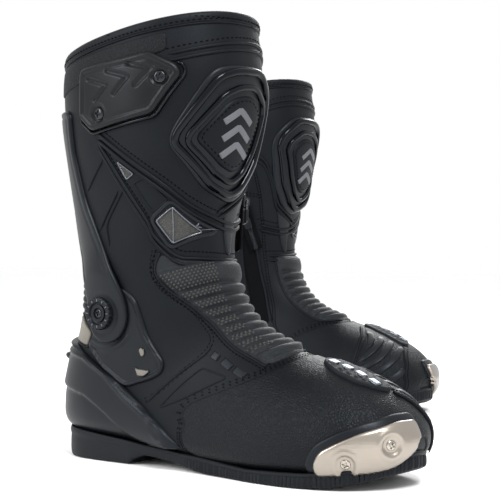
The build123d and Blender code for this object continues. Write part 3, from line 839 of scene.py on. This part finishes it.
def make_shaft_panels():
    double = []
    for path in (LOWER_PIPING, shifted(LOWER_PIPING, -5)):
        double.append(strip(SHAFT, path, 3.3, 2.2, corner=14, taper=6))
    for path in (SECOND_PIPING, shifted(SECOND_PIPING, -4.5)):
        double.append(strip(SHAFT, path, 2.8, 1.9, corner=10, taper=6))
    for path in (TOP_SEAM, shifted(TOP_SEAM, -5)):
        double.append(strip(SHAFT, path, 2.6, 1.5, corner=10, taper=4))
    for path in BACK_SEAMS:
        double.append(strip(OUTER, path, 2.2, 1.2, corner=6, taper=4))
    emit("shaft_piping", *join(double), "smooth_leather", "shaft")
    emit("rear_patch_fabric", *panel(SHAFT, PATCH_EDGE, 1.0, 0, edge=1.4, step=2.0, corner=3), "rough_patch",
         "shaft")
    rows = [stitches(SHAFT, shifted(LOWER_PIPING, 5.5), 0.1, corner=14),
            stitches(SHAFT, shifted(SECOND_PIPING, 5), 0.1, corner=10),
            stitches(SHAFT, shifted(TOP_SEAM, 4), 0.1, corner=10)]
    emit("shaft_stitches", *join(rows), "thread", "shaft")
    mesh = [panel(OUTER, VENT_SMALL, 0.8, 0.1, edge=0.8, step=1.2, corner=1),
            panel(OUTER, VENT_LARGE, 0.8, 0.1, edge=0.8, step=1.2, corner=1.5)]
    emit("vent_mesh", *join(mesh), "silver_mesh", "shaft", ("side_vents",))
    frame_strips = [strip(OUTER, VENT_SMALL, 1.3, 1.4, closed=True, corner=1.0, step=0.9, flat_top=0.2),
                    strip(OUTER, VENT_LARGE, 1.6, 1.8, closed=True, corner=1.2, step=0.9, flat_top=0.2),
                    strip(OUTER, [(56, 189), (54, 163)], 1.3, 1.6, corner=2, step=0.9, flat_top=0.2),
                    strip(OUTER, [(66, 172), (84, 176)], 1.6, 1.2, corner=2, step=0.9, taper=6)]
    emit("vent_frames", *join(frame_strips), "silver", "shaft")
    emit("vent_mount", *strip(OUTER, [(41, 180), (56, 194), (73, 171), (52, 159)], 3.0, 1.0, closed=True,
         corner=4, step=1.5, flat_top=0.3), "moulded", "shaft")
    emit("embossed_quad", *strip(OUTER, QUAD, 1.5, 0.8, closed=True, corner=2, step=1.2), "smooth_leather",
         "shaft")


# ---------------------------------------------------------------- brace arm, dial and ankle plate
ARM_EDGE = [(-30, 262), (-29, 231), (-18, 194), (-7, 172), (4, 148), (13, 132), (18, 118), (18, 104),
            (10, 92), (-4, 88), (-14, 93), (-19, 103), (-20, 116), (-24, 132), (-32, 150), (-42, 176),
            (-50, 204), (-56, 232), (-61, 262)]
PIVOT = np.array((PIVOT_X, PIVOT_Z))


def arm_lift(p):
    away = np.linalg.norm(p - PIVOT, axis=1)
    return 0.3 + 2.1 * ease((50 - away) / 22)


def arm_relief(p, d):
    away = np.linalg.norm(p - PIVOT, axis=1)
    return -0.5 * bell(d - 4.5, 0.9) * (away > 30) - 0.5 * bell(away - 14.5, 1.2)


def make_brace():
    emit("brace", *panel(OUTER, ARM_EDGE, 2.6, arm_lift, edge=1.6, step=1.6, corner=8, relief=arm_relief,
         depth=0.3), "moulded", "shaft", ("brace_arm",))
    axis = np.array((0, -1.0, 0))
    hub = np.array((PIVOT_X, -48.2, PIVOT_Z))

    def ticks(turn, radius, height):
        return -0.45 * (1 if math.cos(turn * 24) > 0.2 and radius > 10.5 else 0)

    dial = [(0.0, -4), (12.2, -4), (12.2, 3.0), (11.8, 3.9), (10.8, 4.2), (8.4, 4.1), (7.6, 2.6), (6.6, 2.4),
            (6.2, 3.4), (5.6, 3.6), (4.2, 3.4), (3.8, 2.0), (0.0, 2.0)]
    emit("dial", *ring(hub, axis, (1, 0, 0), dial, count=144, wave=ticks), "moulded", "foot",
         ("pivot_dial",), sharp=35)
    emit("dial_screw", *screw_head(hub + axis * 0.9, axis, 3.4, dome=0.6, cross_depth=0.9), "black_metal",
         "foot", ("pivot_screw",), sharp=40)
    marks = []
    for k in range(12):
        turn = k * math.pi / 6
        spoke = np.array((math.cos(turn), 0, math.sin(turn)))
        marks.append(bar(hub + axis * 4.0 + spoke * 9.6, spoke, axis, 1.7, 0.7, 0.7))
    emit("dial_marks", *join(marks), "grey_print", "foot")


def bar(centre, along, up, length, width, height):
    """A small block with its edges cut."""
    across = np.cross(up, along)
    points = []
    for h, cut in ((-height, 0.0), (height * 0.5, 0.0), (height, 0.2)):
        for a, b in ((-1, -1), (1, -1), (1, 1), (-1, 1)):
            points.append(centre + along * a * (length / 2 - cut) + across * b * (width / 2 - cut) + up * h)
    return outward(np.array(points), [(3, 2, 1, 0), (8, 9, 10, 11)] + ring_faces(3, 4))


ANKLE_EDGE = [(-23, 118), (-5, 130), (15, 130), (25, 122), (28, 113), (33, 97), (41, 85), (48, 77), (46, 68),
              (36, 63), (25, 60), (13, 56), (-10, 70), (-24, 85), (-19, 95), (-15, 104)]
OVAL = [(26, 85), (28, 87), (31, 85), (31, 81), (28, 80)]
TEARDROP = [(22, 73), (24, 71), (36, 70), (31, 66), (25, 66)]


def ankle_relief(p, d):
    away = np.linalg.norm(p - PIVOT, axis=1)
    rim_ridge = (1.6 * bell(d - 2.0, 1.1) - 0.5 * bell(d - 4.4, 0.8)) * ease((away - 26) / 4)
    crescent = 1.4 * bell(away - 26.5, 1.5) * ease((98 - p[:, 1]) / 8)
    return rim_ridge + crescent


def make_ankle_plate():
    emit("ankle_guard", *panel(OUTER, ANKLE_EDGE, 1.2, 0.1, edge=1.2, step=1.3, corner=6,
         relief=ankle_relief), "moulded", "foot", ("ankle_plate",))
    inserts = [panel(OUTER, OVAL, 0.8, 1.3, edge=0.6, step=1.0, corner=2),
               panel(OUTER, TEARDROP, 0.8, 1.3, edge=0.6, step=1.0, corner=1.5),
               panel(HEEL, [(-55, -18, 108), (-38, -31, 107), (-21, -40, 96), (-26, -39, 86), (-41, -32, 89),
               (-58, -16, 90)], 1.0, 0.1, edge=0.8, step=1.4, corner=3)]
    emit("reflective_inserts", *join(inserts), "reflective", "foot", ("reflectors",))
    border = [strip(OUTER, OVAL, 1.1, 1.2, 1.0, closed=True, corner=2, step=0.8),
              strip(OUTER, TEARDROP, 1.1, 1.2, 1.0, closed=True, corner=1.5, step=0.8)]
    emit("insert_borders", *join(border), "black_metal", "foot")
    ribs = []
    for z in (113, 118, 123, 128, 133, 138, 143):
        ribs.append(strip(HEEL, [(-24, -40, z), (-42, -27, z + 3), (-50, -12, z + 5), (-52, 0, z + 5),
                    (-50, 12, z + 5), (-42, 27, z + 3), (-24, 40, z)], 4.2, 1.5, corner=10, taper=8))
    emit("rear_ribs", *join(ribs), "smooth_leather", "ankle")
    seam = [(-57, -18, 110), (-37, -31, 109), (-18, -40, 97), (-25, -39, 84), (-41, -32, 87), (-60, -16, 88)]
    emit("patch_border", *strip(HEEL, seam, 1.4, 0.9, closed=True, corner=3, step=1.4), "smooth_leather",
         "foot")


# ---------------------------------------------------------------- heel
CUP_TOP = [(64, 13.5), (57, 24), (49, 32), (30, 46), (14, 57), (-12, 72), (-39, 86), (-58, 91)]
CUP_BOTTOM = [(-58, 21), (-30, 19), (5, 16), (28, 14), (52, 12)]


def cup_relief(p, d):
    turn = np.abs(180 - np.degrees(p[:, 0] / HEEL.radius))
    top = np.interp(turn, (0, 60, 90, 115, 135, 148), (92, 86, 74, 58, 46, 14))
    below = top - p[:, 1]
    height = 1.5 * bell(below - 2.6, 1.2) - 1.2 * bell(below - 5.2, 1.0) + 1.1 * bell(below - 8.2, 1.4)
    facet = np.interp(turn, (0, 60, 90, 115, 148), (58, 48, 36, 24, 14))
    return height + 2.4 * ease((p[:, 1] - facet) / 1.8) - 1.2 + 0.05 * np.clip(facet - p[:, 1], 0, 30)


DIMPLES = [(-20, 57), (-3, 46), (17, 36)]


def make_heel():
    outer = onto(OUTER, CUP_TOP)
    inner = (outer * (1, -1, 1))[::-1]
    low = onto(OUTER, CUP_BOTTOM)
    low_inner = (low * (1, -1, 1))[::-1]
    outline = np.vstack([outer, [(-66, 0, 92)], inner, low_inner[::-1], [(-62, 0, 22)], low])
    emit("heel_counter", *panel(HEEL, outline, 2.8, 0.2, edge=1.8, step=1.6, corner=5, relief=cup_relief),
         "moulded", "foot", ("heel_cup",))
    spike = [(-49, -30, 76), (-58, -20, 75), (-64, -8, 74), (-65, 0, 74), (-64, 8, 74), (-58, 20, 75),
             (-49, 30, 76)]
    emit("spur", *strip(HEEL, spike, 7, 6.5, 1.2, corner=8, step=1.0, taper=9), "moulded", "foot")
    studs = []
    for x, z in DIMPLES:
        place, normal = at(OUTER, (x, z))
        studs.append(ring(place + normal * 2.6, normal, (1, 0, 0.1), [(0, 0), (3.4, 0), (3.4, 1.0),
                     (2.6, 1.6), (1.8, 0.9), (0, 0.4)], count=28))
    emit("heel_dimples", *join(studs), "moulded", "foot", sharp=60)


# ---------------------------------------------------------------- sole
SOLE_STEP = 0.8
TREAD = [(-67, 0), (-62, -18), (-50, -30), (-30, -36), (10, -38), (50, -38), (90, -44), (130, -52),
         (160, -55), (190, -51), (212, -41), (228, -25), (236, -5), (234, 12), (225, 28), (205, 40),
         (175, 46), (145, 47), (110, 42), (70, 34), (30, 32), (-10, 33), (-40, 31), (-58, 20)]
WALL_TOP = np.array([(-80, 24), (-30, 20.5), (5, 17.5), (28, 15), (70, 12), (130, 8.5), (178, 10),
                    (206, 13.5), (222, 18), (245, 28)], float)
WALL_FOOT = np.array([(-80, 0), (12, 0), (16, 4), (27, 7.5), (40, 6.5), (55, 4.6), (75, 1.4), (88, 0),
                     (170, 0), (195, 1.6), (215, 5.2), (236, 12), (246, 17)], float)
FORM_LOW = np.array([(-80, 26), (-62, 24), (5, 16), (70, 9), (130, 6), (178, 7), (206, 10), (224, 15),
                    (246, 26)], float)


def periodic(points, count):
    """A smooth closed curve through points."""
    points = np.asarray(points, float)
    size = len(points)
    at_point = np.linspace(0, size, count, endpoint=False)
    i = at_point.astype(int)
    t = (at_point - i)[:, None]
    p = [points[(i + k) % size] for k in (-1, 0, 1, 2)]
    return 0.5 * (2 * p[1] + (p[2] - p[0]) * t + (2 * p[0] - 5 * p[1] + 4 * p[2] - p[3]) * t ** 2
                  + (3 * p[1] - p[0] - 3 * p[2] + p[3]) * t ** 3)


def height_at(line, x):
    return np.interp(x, line[:, 0], line[:, 1])


def tread_relief(p, d):
    """Grooves across the tread, bars under the heel and the forefoot."""
    bars = np.abs((p[:, 0] + 0.22 * np.abs(p[:, 1]) ** 1.15) % 9.0 - 4.5)
    groove = ease((bars - 3.2) / 0.7)
    waist = ease((p[:, 0] - 16) / 6) * ease((78 - p[:, 0]) / 8)
    return 1.7 * groove * (1 - waist) * ease((d - 5.0) / 1.5)


def make_sole():
    loop = resample(periodic(TREAD, 600), SOLE_STEP, True)
    normal = -inward(loop)
    run = np.arange(len(loop)) * SOLE_STEP
    low, high = height_at(WALL_FOOT, loop[:, 0]), height_at(WALL_TOP, loop[:, 0])
    front = ease((loop[:, 0] - 62) / 12)
    levels = [0.0, 0.05, 0.12, 0.2, 0.3, 0.4, 0.5, 0.6, 0.68, 0.74, 0.8, 0.88, 0.94, 1.0, 1.0, 1.0]
    outs = [-1.0, -0.25, 0, 0.2, 0.3, 0.3, 0.3, 0.2, 0.1, 0.0, 0.5, 0.7, 0.5, 0.0, -1.2, -3.2]
    rings = []
    for level, out in zip(levels, outs):
        ribs = 0.38 * np.sign(np.cos(run * 2 * math.pi / 3.2)) * front * (0.1 < level < 0.72)
        ring_points = loop + normal * (out + ribs - 0.7)[:, None]
        z = low + (high - low) * level
        rings.append(np.column_stack([ring_points, z]))
    count = len(loop)
    seeds = loop + normal * -1.7
    inner_low, inner_high = seeds.min(0), seeds.max(0)
    xs = np.arange(inner_low[0], inner_high[0], 1.5)
    ys = np.arange(inner_low[1], inner_high[1], 2.5)
    lattice = np.array([(x, y) for y in ys for x in xs])
    lattice = lattice[inside(lattice, seeds)]
    lattice = lattice[distance(lattice, seeds[::4], True) > 1.6]
    flat, triangles = triangulate(seeds, [lattice])
    d = distance(flat, seeds[::4], True)
    under = np.column_stack([flat, height_at(WALL_FOOT, flat[:, 0]) + tread_relief(flat, d)])
    walls = np.vstack(rings)
    size = len(rings)
    faces = ring_faces(size, count)
    offset = len(walls)
    a, b, c = under[triangles[0]]
    if np.cross(b - a, c - a)[2] > 0:
        triangles = triangles[:, ::-1]
    remap = np.arange(len(flat)) + offset
    remap[:count] = np.arange(count)
    faces += [tuple(remap[list(t)]) for t in triangles]
    lid = np.column_stack([flat, np.minimum(height_at(FORM_LOW, flat[:, 0]) - 1.0,
                          height_at(WALL_TOP, flat[:, 0]) - 0.5)])
    lid_offset = offset + len(flat)
    remap = np.arange(len(flat)) + lid_offset
    remap[:count] = np.arange(count) + (size - 1) * count
    faces += [tuple(remap[list(t[::-1])]) for t in triangles]
    everything = np.vstack([walls, under, lid])
    return tidy_mesh(everything, faces)


def tidy_mesh(points, faces):
    """Drop points that no face uses."""
    used = sorted({int(i) for face in faces for i in face})
    place = {old: new for new, old in enumerate(used)}
    return points[used], [tuple(place[int(i)] for i in face) for face in faces]


def make_outsole():
    emit("outsole_rubber", *outward(*make_sole()), "rubber", "foot", ("outsole",), sharp=50)


# ---------------------------------------------------------------- vamp, quarters, accordion
VAMP_BORDER = [(76, -46, 6), (73, -46, 31), (67, -44, 41), (74, -43, 49), (92, -42, 56), (117, -38, 65),
               (138, -30, 74), (150, -14, 82), (152, 2, 83), (146, 12, 84), (129, 22, 82), (104, 33, 72),
               (98, 36, 60), (96, 37, 40), (98, 40, 10)]
DIAMOND = [(40, -43, 157), (37, -42, 142), (43, -39, 130), (67, -29, 113), (82, -26, 97), (79, -31, 85),
           (47, -40, 58), (33, -41, 50)]
ACCORDION_EDGE = [(46, -41, 156), (40, -41, 142), (52, -36, 128), (67, -28, 117), (82, -24, 104),
                  (106, -24, 87), (131, -28, 78), (142, -12, 85), (141, 4, 86), (127, 18, 84), (104, 17, 94),
                  (84, 18, 108), (73, 18, 129), (69, 17, 152), (74, 2, 152), (68, -20, 150), (57, -33, 152)]


ACCORDION_START = 6.62
RIB_PITCH = 9.0


def accordion_relief(p, d):
    start = ROWS.flat([(0, ACCORDION_START)])[0, 1]
    run = p[:, 1] - start
    bulge = np.sqrt(np.clip(1 - ((run - 9) / 9) ** 2, 0, 1)) * 4.6
    place = (run - 18) % RIB_PITCH / RIB_PITCH
    ribs = np.abs(np.sin(place * math.pi)) ** 0.6 * 4.2
    return np.where(run < 18, bulge, ribs) * ease(d / 5)


def accordion_dots():
    """The rubber print: rows of dots over the outer part of the accordion."""
    parts = []
    start = ROWS.flat([(0, ACCORDION_START)])[0, 1]
    edge = resample(soften(ROWS.flat(ACCORDION_EDGE), 4, True), 2, True)
    lines = [2.5 + 2.2 * k for k in range(7)]
    lines += [18 + RIB_PITCH * rib + part for rib in range(8) for part in (1.8, 3.9, 6.0)]
    for count, line in enumerate(lines):
        a = np.arange(12, 64, 2.4) + (count % 2) * 1.2
        flat = np.stack([a, np.full(len(a), start + line)], 1)
        flat = flat[inside(flat, edge)]
        d = distance(flat, edge, True)
        flat, d = flat[d > 2.0], d[d > 2.0]
        if not len(flat):
            continue
        places, normals = ROWS.lay(flat)
        lift = 0.55 + accordion_relief(flat, d)
        for p, n, h in zip(places, normals, lift):
            parts.append(blob(p + n * h, n, 0.85, 0.5))
    return join(parts)


def blob(centre, normal, radius, height):
    side = np.cross(normal, (0, 0, 1.0))
    side = side / np.linalg.norm(side)
    other = np.cross(normal, side)
    points = [centre + normal * height]
    for r, h in ((0.7, 0.75), (1.0, 0.0), (1.0, -0.6)):
        for k in range(8):
            t = k * math.pi / 4
            spoke = (side * math.cos(t) + other * math.sin(t)) * radius * r
            points.append(centre + spoke + normal * height * h)
    faces = [(0, 1 + k, 1 + (k + 1) % 8) for k in range(8)]
    for i in (1, 9):
        faces += [(i + k, i + 8 + k, i + 8 + (k + 1) % 8, i + (k + 1) % 8) for k in range(8)]
    faces.append(tuple(range(24, 16, -1)))
    return outward(np.array(points), faces)


STRIP_TABS = [[(85, -30, 84), (91, -30, 82)], [(95, -30, 79.5), (104, -32, 75.5)],
              [(107, -32, 74.5), (117, -35, 70.5)]]
PRESSED_QUAD = [(44, -43, 43), (80, -35, 74), (102, -37, 68), (66, -42, 51)]


def make_upper():
    under = np.array([(-150, 12), (-150, 15), (-145, 17.2), (-90, 17.7), (-30, 17.8), (30, 17.8), (90, 17.7),
                      (145, 17.2), (150, 15), (150, 12)], float)
    outline = np.vstack([VAMP_BORDER, boot_point(np.radians(under[:, 0]), under[:, 1])])
    emit("vamp", *panel(ROWS, outline, 0.9, 0, edge=1.3, step=2.4, corner=6), "grained_leather", "ankle")
    inset = stitches(ROWS, VAMP_BORDER, 0.75, rows=(2.2, 4.6), corner=8, pitch=2.7, length=1.7, thick=0.75)
    emit("vamp_stitches", *inset, "thread", "ankle")
    emit("ankle_stitches", *stitches(ROWS, DIAMOND, 0.0, rows=(0, 2.4), corner=8, pitch=2.7, length=1.7,
         thick=0.75), "thread", "ankle")
    accordion = panel(ROWS, ACCORDION_EDGE, 0.6, 0, edge=1.5, step=1.3, corner=7, relief=accordion_relief)
    emit("accordion", *accordion, "grip_fabric", "ankle")
    emit("accordion_print", *accordion_dots(), "print_dots", "ankle")
    edge = strip(ROWS, ACCORDION_EDGE[:7], 2.2, 1.2, corner=8)
    inner_edge = strip(ROWS, ACCORDION_EDGE[8:14], 2.2, 1.2, corner=8)
    emit("accordion_piping", *join([edge, inner_edge]), "smooth_leather", "ankle")
    emit("accordion_stitches", *stitches(ROWS, ACCORDION_EDGE[:7], 0.1, rows=(-3.2, 3.2), corner=8),
         "thread", "ankle")
    tabs = [strip(ROWS, path, 5.5, 0.7, 0, corner=2, step=1.2, flat_top=1.5) for path in STRIP_TABS]
    emit("strip_tabs", *join(tabs), "moulded", "ankle")
    emit("pressed_quad", *strip(ROWS, PRESSED_QUAD, 1.3, 0.6, closed=True, corner=2, step=1.2),
         "smooth_leather", "ankle")
    emit("quarter_strip", *strip(ROWS, [(33, -43, 46), (58, -38, 66), (81, -31, 84), (84, -29, 92)], 1.6, 0.7,
                                 corner=6, step=1.5, taper=4), "smooth_leather", "ankle")


# ---------------------------------------------------------------- toe slider and shift pad
BASE_EDGE = [(181, -51, 8), (179, -51, 18), (186, -50, 30), (200, -46, 38), (214, -40, 43.5), (228, -20, 49),
             (235, 0, 49), (238, 0, 28), (231, -20, 16), (217, -38, 11), (200, -48, 7)]
PLATE_EDGE = [(188, -50, 8), (185, -50, 16), (190, -50, 26), (203, -46, 33), (215, -41, 38), (229, -20, 44),
              (235, -3, 44), (237, -3, 31), (231, -20, 18), (217, -38, 11), (201, -47, 7)]
TOE_SCREWS = [(206, -44, 19), (227, -26, 30.5)]


def toe_relief(p, d):
    height = np.zeros(len(p))
    for screw in TOE.flat(TOE_SCREWS):
        away = np.linalg.norm(p - screw, axis=1)
        height = height - 2.3 * ease((6.4 - away) / 2.2) + 0.4 * bell(away - 7.6, 1.0)
    return height


def make_toe():
    emit("slider_surround", *panel(TOE, BASE_EDGE, 2.0, 0.9, edge=1.8, step=1.6, corner=5), "moulded", "foot",
         ("toe_slider_base",))
    emit("slider_plate", *panel(TOE, PLATE_EDGE, 2.4, 2.9, edge=2.2, step=1.0, corner=4, relief=toe_relief),
         "steel", "foot", ("toe_slider",))
    emit("slider_screws", *screw_heads(TOE, TOE_SCREWS, 1.7, 3.6), "bright_steel", "foot",
         ("toe_slider_screws",), sharp=40)


SHIFT_EDGE = [(165, 7, 79), (189, 4, 72), (212, 5, 60), (226, 22, 46), (229, 28, 26), (213, 42, 20),
              (178, 48, 22), (179, 47, 39), (180, 40, 54), (178, 29, 66)]
SHIFT_BANDS = [[(176, 13, 76), (186, 20, 70), (189, 29, 64), (187, 35, 59)],
               [(189, 12, 71), (196, 20, 67), (197, 31, 60), (191, 39, 54), (184, 44, 48)],
               [(200, 9, 67), (205, 17, 64), (207, 29, 57), (204, 37, 50), (193, 45, 43), (184, 48, 36)],
               [(210, 8, 61), (214, 14, 59), (216, 28, 51), (212, 37, 44), (201, 45, 36), (188, 48, 28)],
               [(225, 27, 43), (224, 33, 37), (216, 40, 31), (204, 45, 25)]]
SHIFT_REAR = [(165, 7, 79), (175, 20, 73), (178, 29, 66), (180, 40, 54), (179, 47, 39), (178, 48, 22)]
SHIFT_FRONT = [(213, 3, 60), (226, 22, 46), (229, 28, 30), (228, 30, 19)]
PAD_EDGE = [(162, -3), (168, -12), (180, -18), (197, -18), (209, -10), (214, 0), (209, 7), (184, 7), (168, 4)]


def make_shift_pad():
    def relief(p, d):
        ribs = 0.5 * np.cos((p[:, 0] + 0.6 * p[:, 1]) * 2 * math.pi / 6.0)
        return ribs * ease((d - 3) / 1.5) - 0.5 * bell(d - 2.6, 0.7)
    emit("shift_pad_rubber", *panel(ABOVE, PAD_EDGE, 2.8, 0.9, edge=1.8, step=1.2, corner=5, relief=relief),
         "rubber", "foot", ("shift_pad",))
    segments = []
    for k in range(4):
        x = 172 + k * 10.5
        segments.append(panel(ABOVE, [(x - 3.6, -9), (x + 3.6, -10), (x + 4.6, -4), (x - 2.6, -3)], 0.6, 3.6,
                        edge=0.5, step=1.0, corner=0.8))
    emit("shift_pad_segments", *join(segments), "silver", "foot")
    emit("shift_cover", *panel(ROWS, SHIFT_EDGE, 1.0, 0.9, edge=1.2, step=2.0, corner=5), "grained_leather",
         "foot", ("shift_panel",))
    bands = [strip(ROWS, path, 6.5, 1.5, 1.6, corner=8, step=1.5, taper=7,
             flat_top=0.6) for path in SHIFT_BANDS]
    emit("shift_bands", *join(bands), "moulded", "foot")
    edges = [strip(ROWS, SHIFT_REAR, 3.0, 1.6, 1.4, corner=8, step=1.5, taper=3),
             strip(ROWS, SHIFT_FRONT, 5.5, 1.2, 1.4, corner=6, step=1.5, taper=3, flat_top=0.8)]
    emit("shift_edges", *join(edges), "smooth_leather", "foot")
    seams = [stitches(ROWS, SHIFT_FRONT, 2.5, rows=(-1.6, 1.6), corner=6, thick=0.8),
             stitches(ROWS, shifted(SHIFT_REAR, 0, 4.5), 1.9, corner=8, thick=0.8)]
    emit("shift_stitches", *join(seams), "thread", "foot")


# ---------------------------------------------------------------- zip and flap on the inner side
ZIP_FRONT = [(49, 49, 225), (51, 46, 200), (54, 41, 188), (58, 31, 149), (64, 28, 115), (73, 31, 82)]
ZIP_REAR = [(46, 50, 225), (47, 46, 200), (45, 42, 166), (48, 35, 119), (57, 33, 84)]
ZIP_TOP = np.array((51, 45.5, 196))
ZIP_DOWN = np.array((0.16627, -0.29097, -0.94218))
ZIP_OUT = np.array((0.45, 0.89, 0)) - ZIP_DOWN * (ZIP_DOWN @ np.array((0.45, 0.89, 0)))
ZIP_OUT = ZIP_OUT / np.linalg.norm(ZIP_OUT)
ZIP_SIDE = np.cross(ZIP_OUT, ZIP_DOWN)


def zip_place(down, side=0.0, out=0.0):
    return ZIP_TOP + ZIP_DOWN * down + ZIP_SIDE * side + ZIP_OUT * out


def rounded_block(centre, x_axis, y_axis, z_axis, size, corner, thick, waist=0.0, hole=None):
    """A flat plate with rounded ends and an optional slot through it."""
    length, width = size
    outline = [(-length / 2, -width / 2), (length / 2, -width / 2 * (1 - waist)),
               (length / 2, width / 2 * (1 - waist)), (-length / 2, width / 2)]
    loop = resample(soften(outline, corner, True), 0.5, True)
    normal = inward(loop)
    rings = []
    for inset, height in ((0.35, 0.0), (0.0, 0.3), (0.0, thick - 0.3), (0.35, thick)):
        flat = loop + normal * inset
        rings.append(centre + flat[:, :1] * x_axis + flat[:, 1:] * y_axis + z_axis * height)
    count = len(loop)
    if hole is None:
        caps = [tuple(range(count - 1, -1, -1)), tuple(3 * count + k for k in range(count))]
        return outward(np.vstack(rings), caps + ring_faces(4, count))
    middle, reach_x, reach_y = hole
    angle = np.arctan2(loop[:, 1] * reach_x, (loop[:, 0] - middle) * reach_y)
    slot = np.stack([middle + reach_x * np.sign(np.cos(angle)) * np.abs(np.cos(angle)) ** 0.5,
                     reach_y * np.sign(np.sin(angle)) * np.abs(np.sin(angle)) ** 0.5], 1)
    for height in (thick, 0.0):
        rings.append(centre + slot[:, :1] * x_axis + slot[:, 1:] * y_axis + z_axis * height)
    return outward(np.vstack(rings), ring_faces(len(rings), count, True))


def make_zip():
    emit("zip_gusset", *panel(ROWS, ZIP_FRONT + ZIP_REAR[::-1], 0.4, 0.0, edge=0.6, step=2.0, corner=4),
         "tape", "ankle")
    tape = []
    for k in range(46):
        down = -5 + k * 1.0
        for side in (-1.5, 1.5):
            tape.append(bar(zip_place(down + (0.5 if side > 0 else 0), side * 0.62, 3.1), ZIP_SIDE, ZIP_OUT,
                        2.4, 0.6, 0.7))
    emit("zip_teeth", *join(tape), "black_metal", "shaft")
    emit("zip_tape", *rounded_block(zip_place(17.8, 0, 1.6), ZIP_DOWN, ZIP_SIDE, ZIP_OUT, (47, 13), 1, 1.4),
         "tape", "shaft", ("zip",))
    slider = [rounded_block(zip_place(0, 0, 3.5), ZIP_DOWN, ZIP_SIDE, ZIP_OUT, (10.5, 8.4), 2.5, 2.2,
              waist=0.3)]
    arch = [(-3.6, 2.1), (-3.5, 5.6), (-2.4, 7.0), (2.4, 7.0), (3.5, 5.6), (3.6, 2.1)]
    rings = []
    for down, high in arch:
        for side, extra in ((-1.2, 0), (1.2, 0), (1.2, 1.0), (-1.2, 1.0)):
            inner = 1 - extra * 0.28
            rings.append(zip_place(down * inner, side, 3.5 + high - extra * 0.9))
    faces = ring_faces(6, 4) + [(3, 2, 1, 0), (20, 21, 22, 23)]
    slider.append(outward(np.array(rings), faces))
    emit("slider_body", *join(slider), "black_metal", "zip_slider", ("zip_slider",), sharp=40)
    puller = rounded_block(zip_place(8.3, 0, 6.7), ZIP_DOWN, ZIP_SIDE, ZIP_OUT, (19.4, 6), 1.6, 1.6,
                           waist=-0.15, hole=(-5.0, 2.1, 1.7))
    emit("puller_tab", *puller, "black_metal", "zip_puller", ("zip_puller",), sharp=50)
    emit("puller_grip", *rounded_block(zip_place(12.0, 0, 6.4), ZIP_DOWN, ZIP_SIDE, ZIP_OUT, (11, 7.2), 2.4,
         2.3), "rubber", "zip_puller")


FLAP_EDGE = [(60, 290), (58, 228), (50, 221), (22, 217), (8, 230), (4, 284), (12, 292)]
FLAP_SEAM = [(55, 286), (53, 231), (47, 226), (25, 222), (13, 233), (9, 283)]
CLOSURE = [[(28, 284), (30, 226)], [(34, 284), (36, 226)], [(12, 262), (54, 266)], [(12, 256), (54, 260)]]
ZIP_FLAP_SEAM = [(62, 47, 240), (65, 38, 210), (63, 29, 175), (65, 25, 136), (73, 26, 102), (88, 33, 69)]
CLOSURE_SEAM = [(54, 46, 213), (66, 38, 210)]
MEDIAL_PIPING = [(50, 54, 257), (67, 46, 252), (74, 39, 245), (76, 31, 225), (74, 22, 202), (74, 4, 192),
                 (73, -10, 184)]
REAR_TAPE_SEAM = [(42, 46, 205), (43, 43, 180), (45, 41, 160), (49, 35, 123), (58, 32, 90)]


def make_inner_side():
    emit("flap", *panel(INNER, FLAP_EDGE, 1.9, 0.5, edge=1.4, step=2.0, corner=7, depth=0.1),
         "smooth_leather", "top_flap", ("top_flap",))
    rows = [stitches(INNER, FLAP_SEAM, 2.4, rows=(0, 2.4), corner=6)]
    rows += [stitches(INNER, path, 2.4) for path in CLOSURE]
    emit("flap_stitches", *join(rows), "thread", "top_flap")
    borders = [strip(ROWS, shifted(ZIP_FRONT[1:], 0, 1), 3.0, 2.0, corner=10, taper=5),
               strip(ROWS, shifted(ZIP_REAR[1:], 0, -1), 2.4, 1.5, corner=10, taper=5)]
    emit("zip_borders", *join(borders), "smooth_leather", "ankle")
    seams = [stitches(ROWS, ZIP_FLAP_SEAM, 0.1, rows=(-1.2, 1.2), corner=10),
             stitches(ROWS, CLOSURE_SEAM, 0.1, rows=(-1.2, 1.2)),
             stitches(ROWS, REAR_TAPE_SEAM, 0.1, corner=10)]
    emit("zip_stitches", *join(seams), "thread", "ankle")
    double = [strip(SHAFT, MEDIAL_PIPING, 3.3, 2.2, corner=10, taper=6),
              strip(SHAFT, shifted(MEDIAL_PIPING, -5), 2.8, 1.8, corner=10, taper=6)]
    emit("medial_piping", *join(double), "smooth_leather", "shaft")
    emit("medial_spike", *panel(SHAFT, [(73, 20, 196), (74, -2, 184), (73, 3, 154), (73, 8, 154)], 1.2, 0,
         edge=1.2, step=1.5, corner=2), "moulded", "shaft")
    back = [(-62, 0, 288), (-60, 0, 240), (-54, 0, 190), (-50, 0, 150)]
    emit("rear_seam", *strip(SHAFT_BACK, back, 6.5, 1.1, taper=5, flat_top=0.8), "smooth_leather", "shaft")
    emit("rear_seam_stitches", *stitches(SHAFT_BACK, back[:-1], 1.0, rows=(-2.2, 2.2)), "thread", "shaft")


# ---------------------------------------------------------------- CAD pieces that stay in view
KEPT = {"insole_board": "board", "footbed": "lining", "stiffeners": "board"}


def paint_kept():
    for side in ("right", "left"):
        for node, look in KEPT.items():
            thing = bpy.data.objects[f"{side}_{node}"]
            if not thing.material_slots:
                thing.data.materials.append(FINISHES[look])
            for place in thing.material_slots:
                place.material = FINISHES[look]


make_camera()
make_studio()
make_skin()
make_collar()
make_calf_plate()
make_shin_guard()
make_shaft_panels()
make_brace()
make_ankle_plate()
make_heel()
make_outsole()
make_upper()
make_toe()
make_shift_pad()
make_zip()
make_inner_side()
paint_kept()
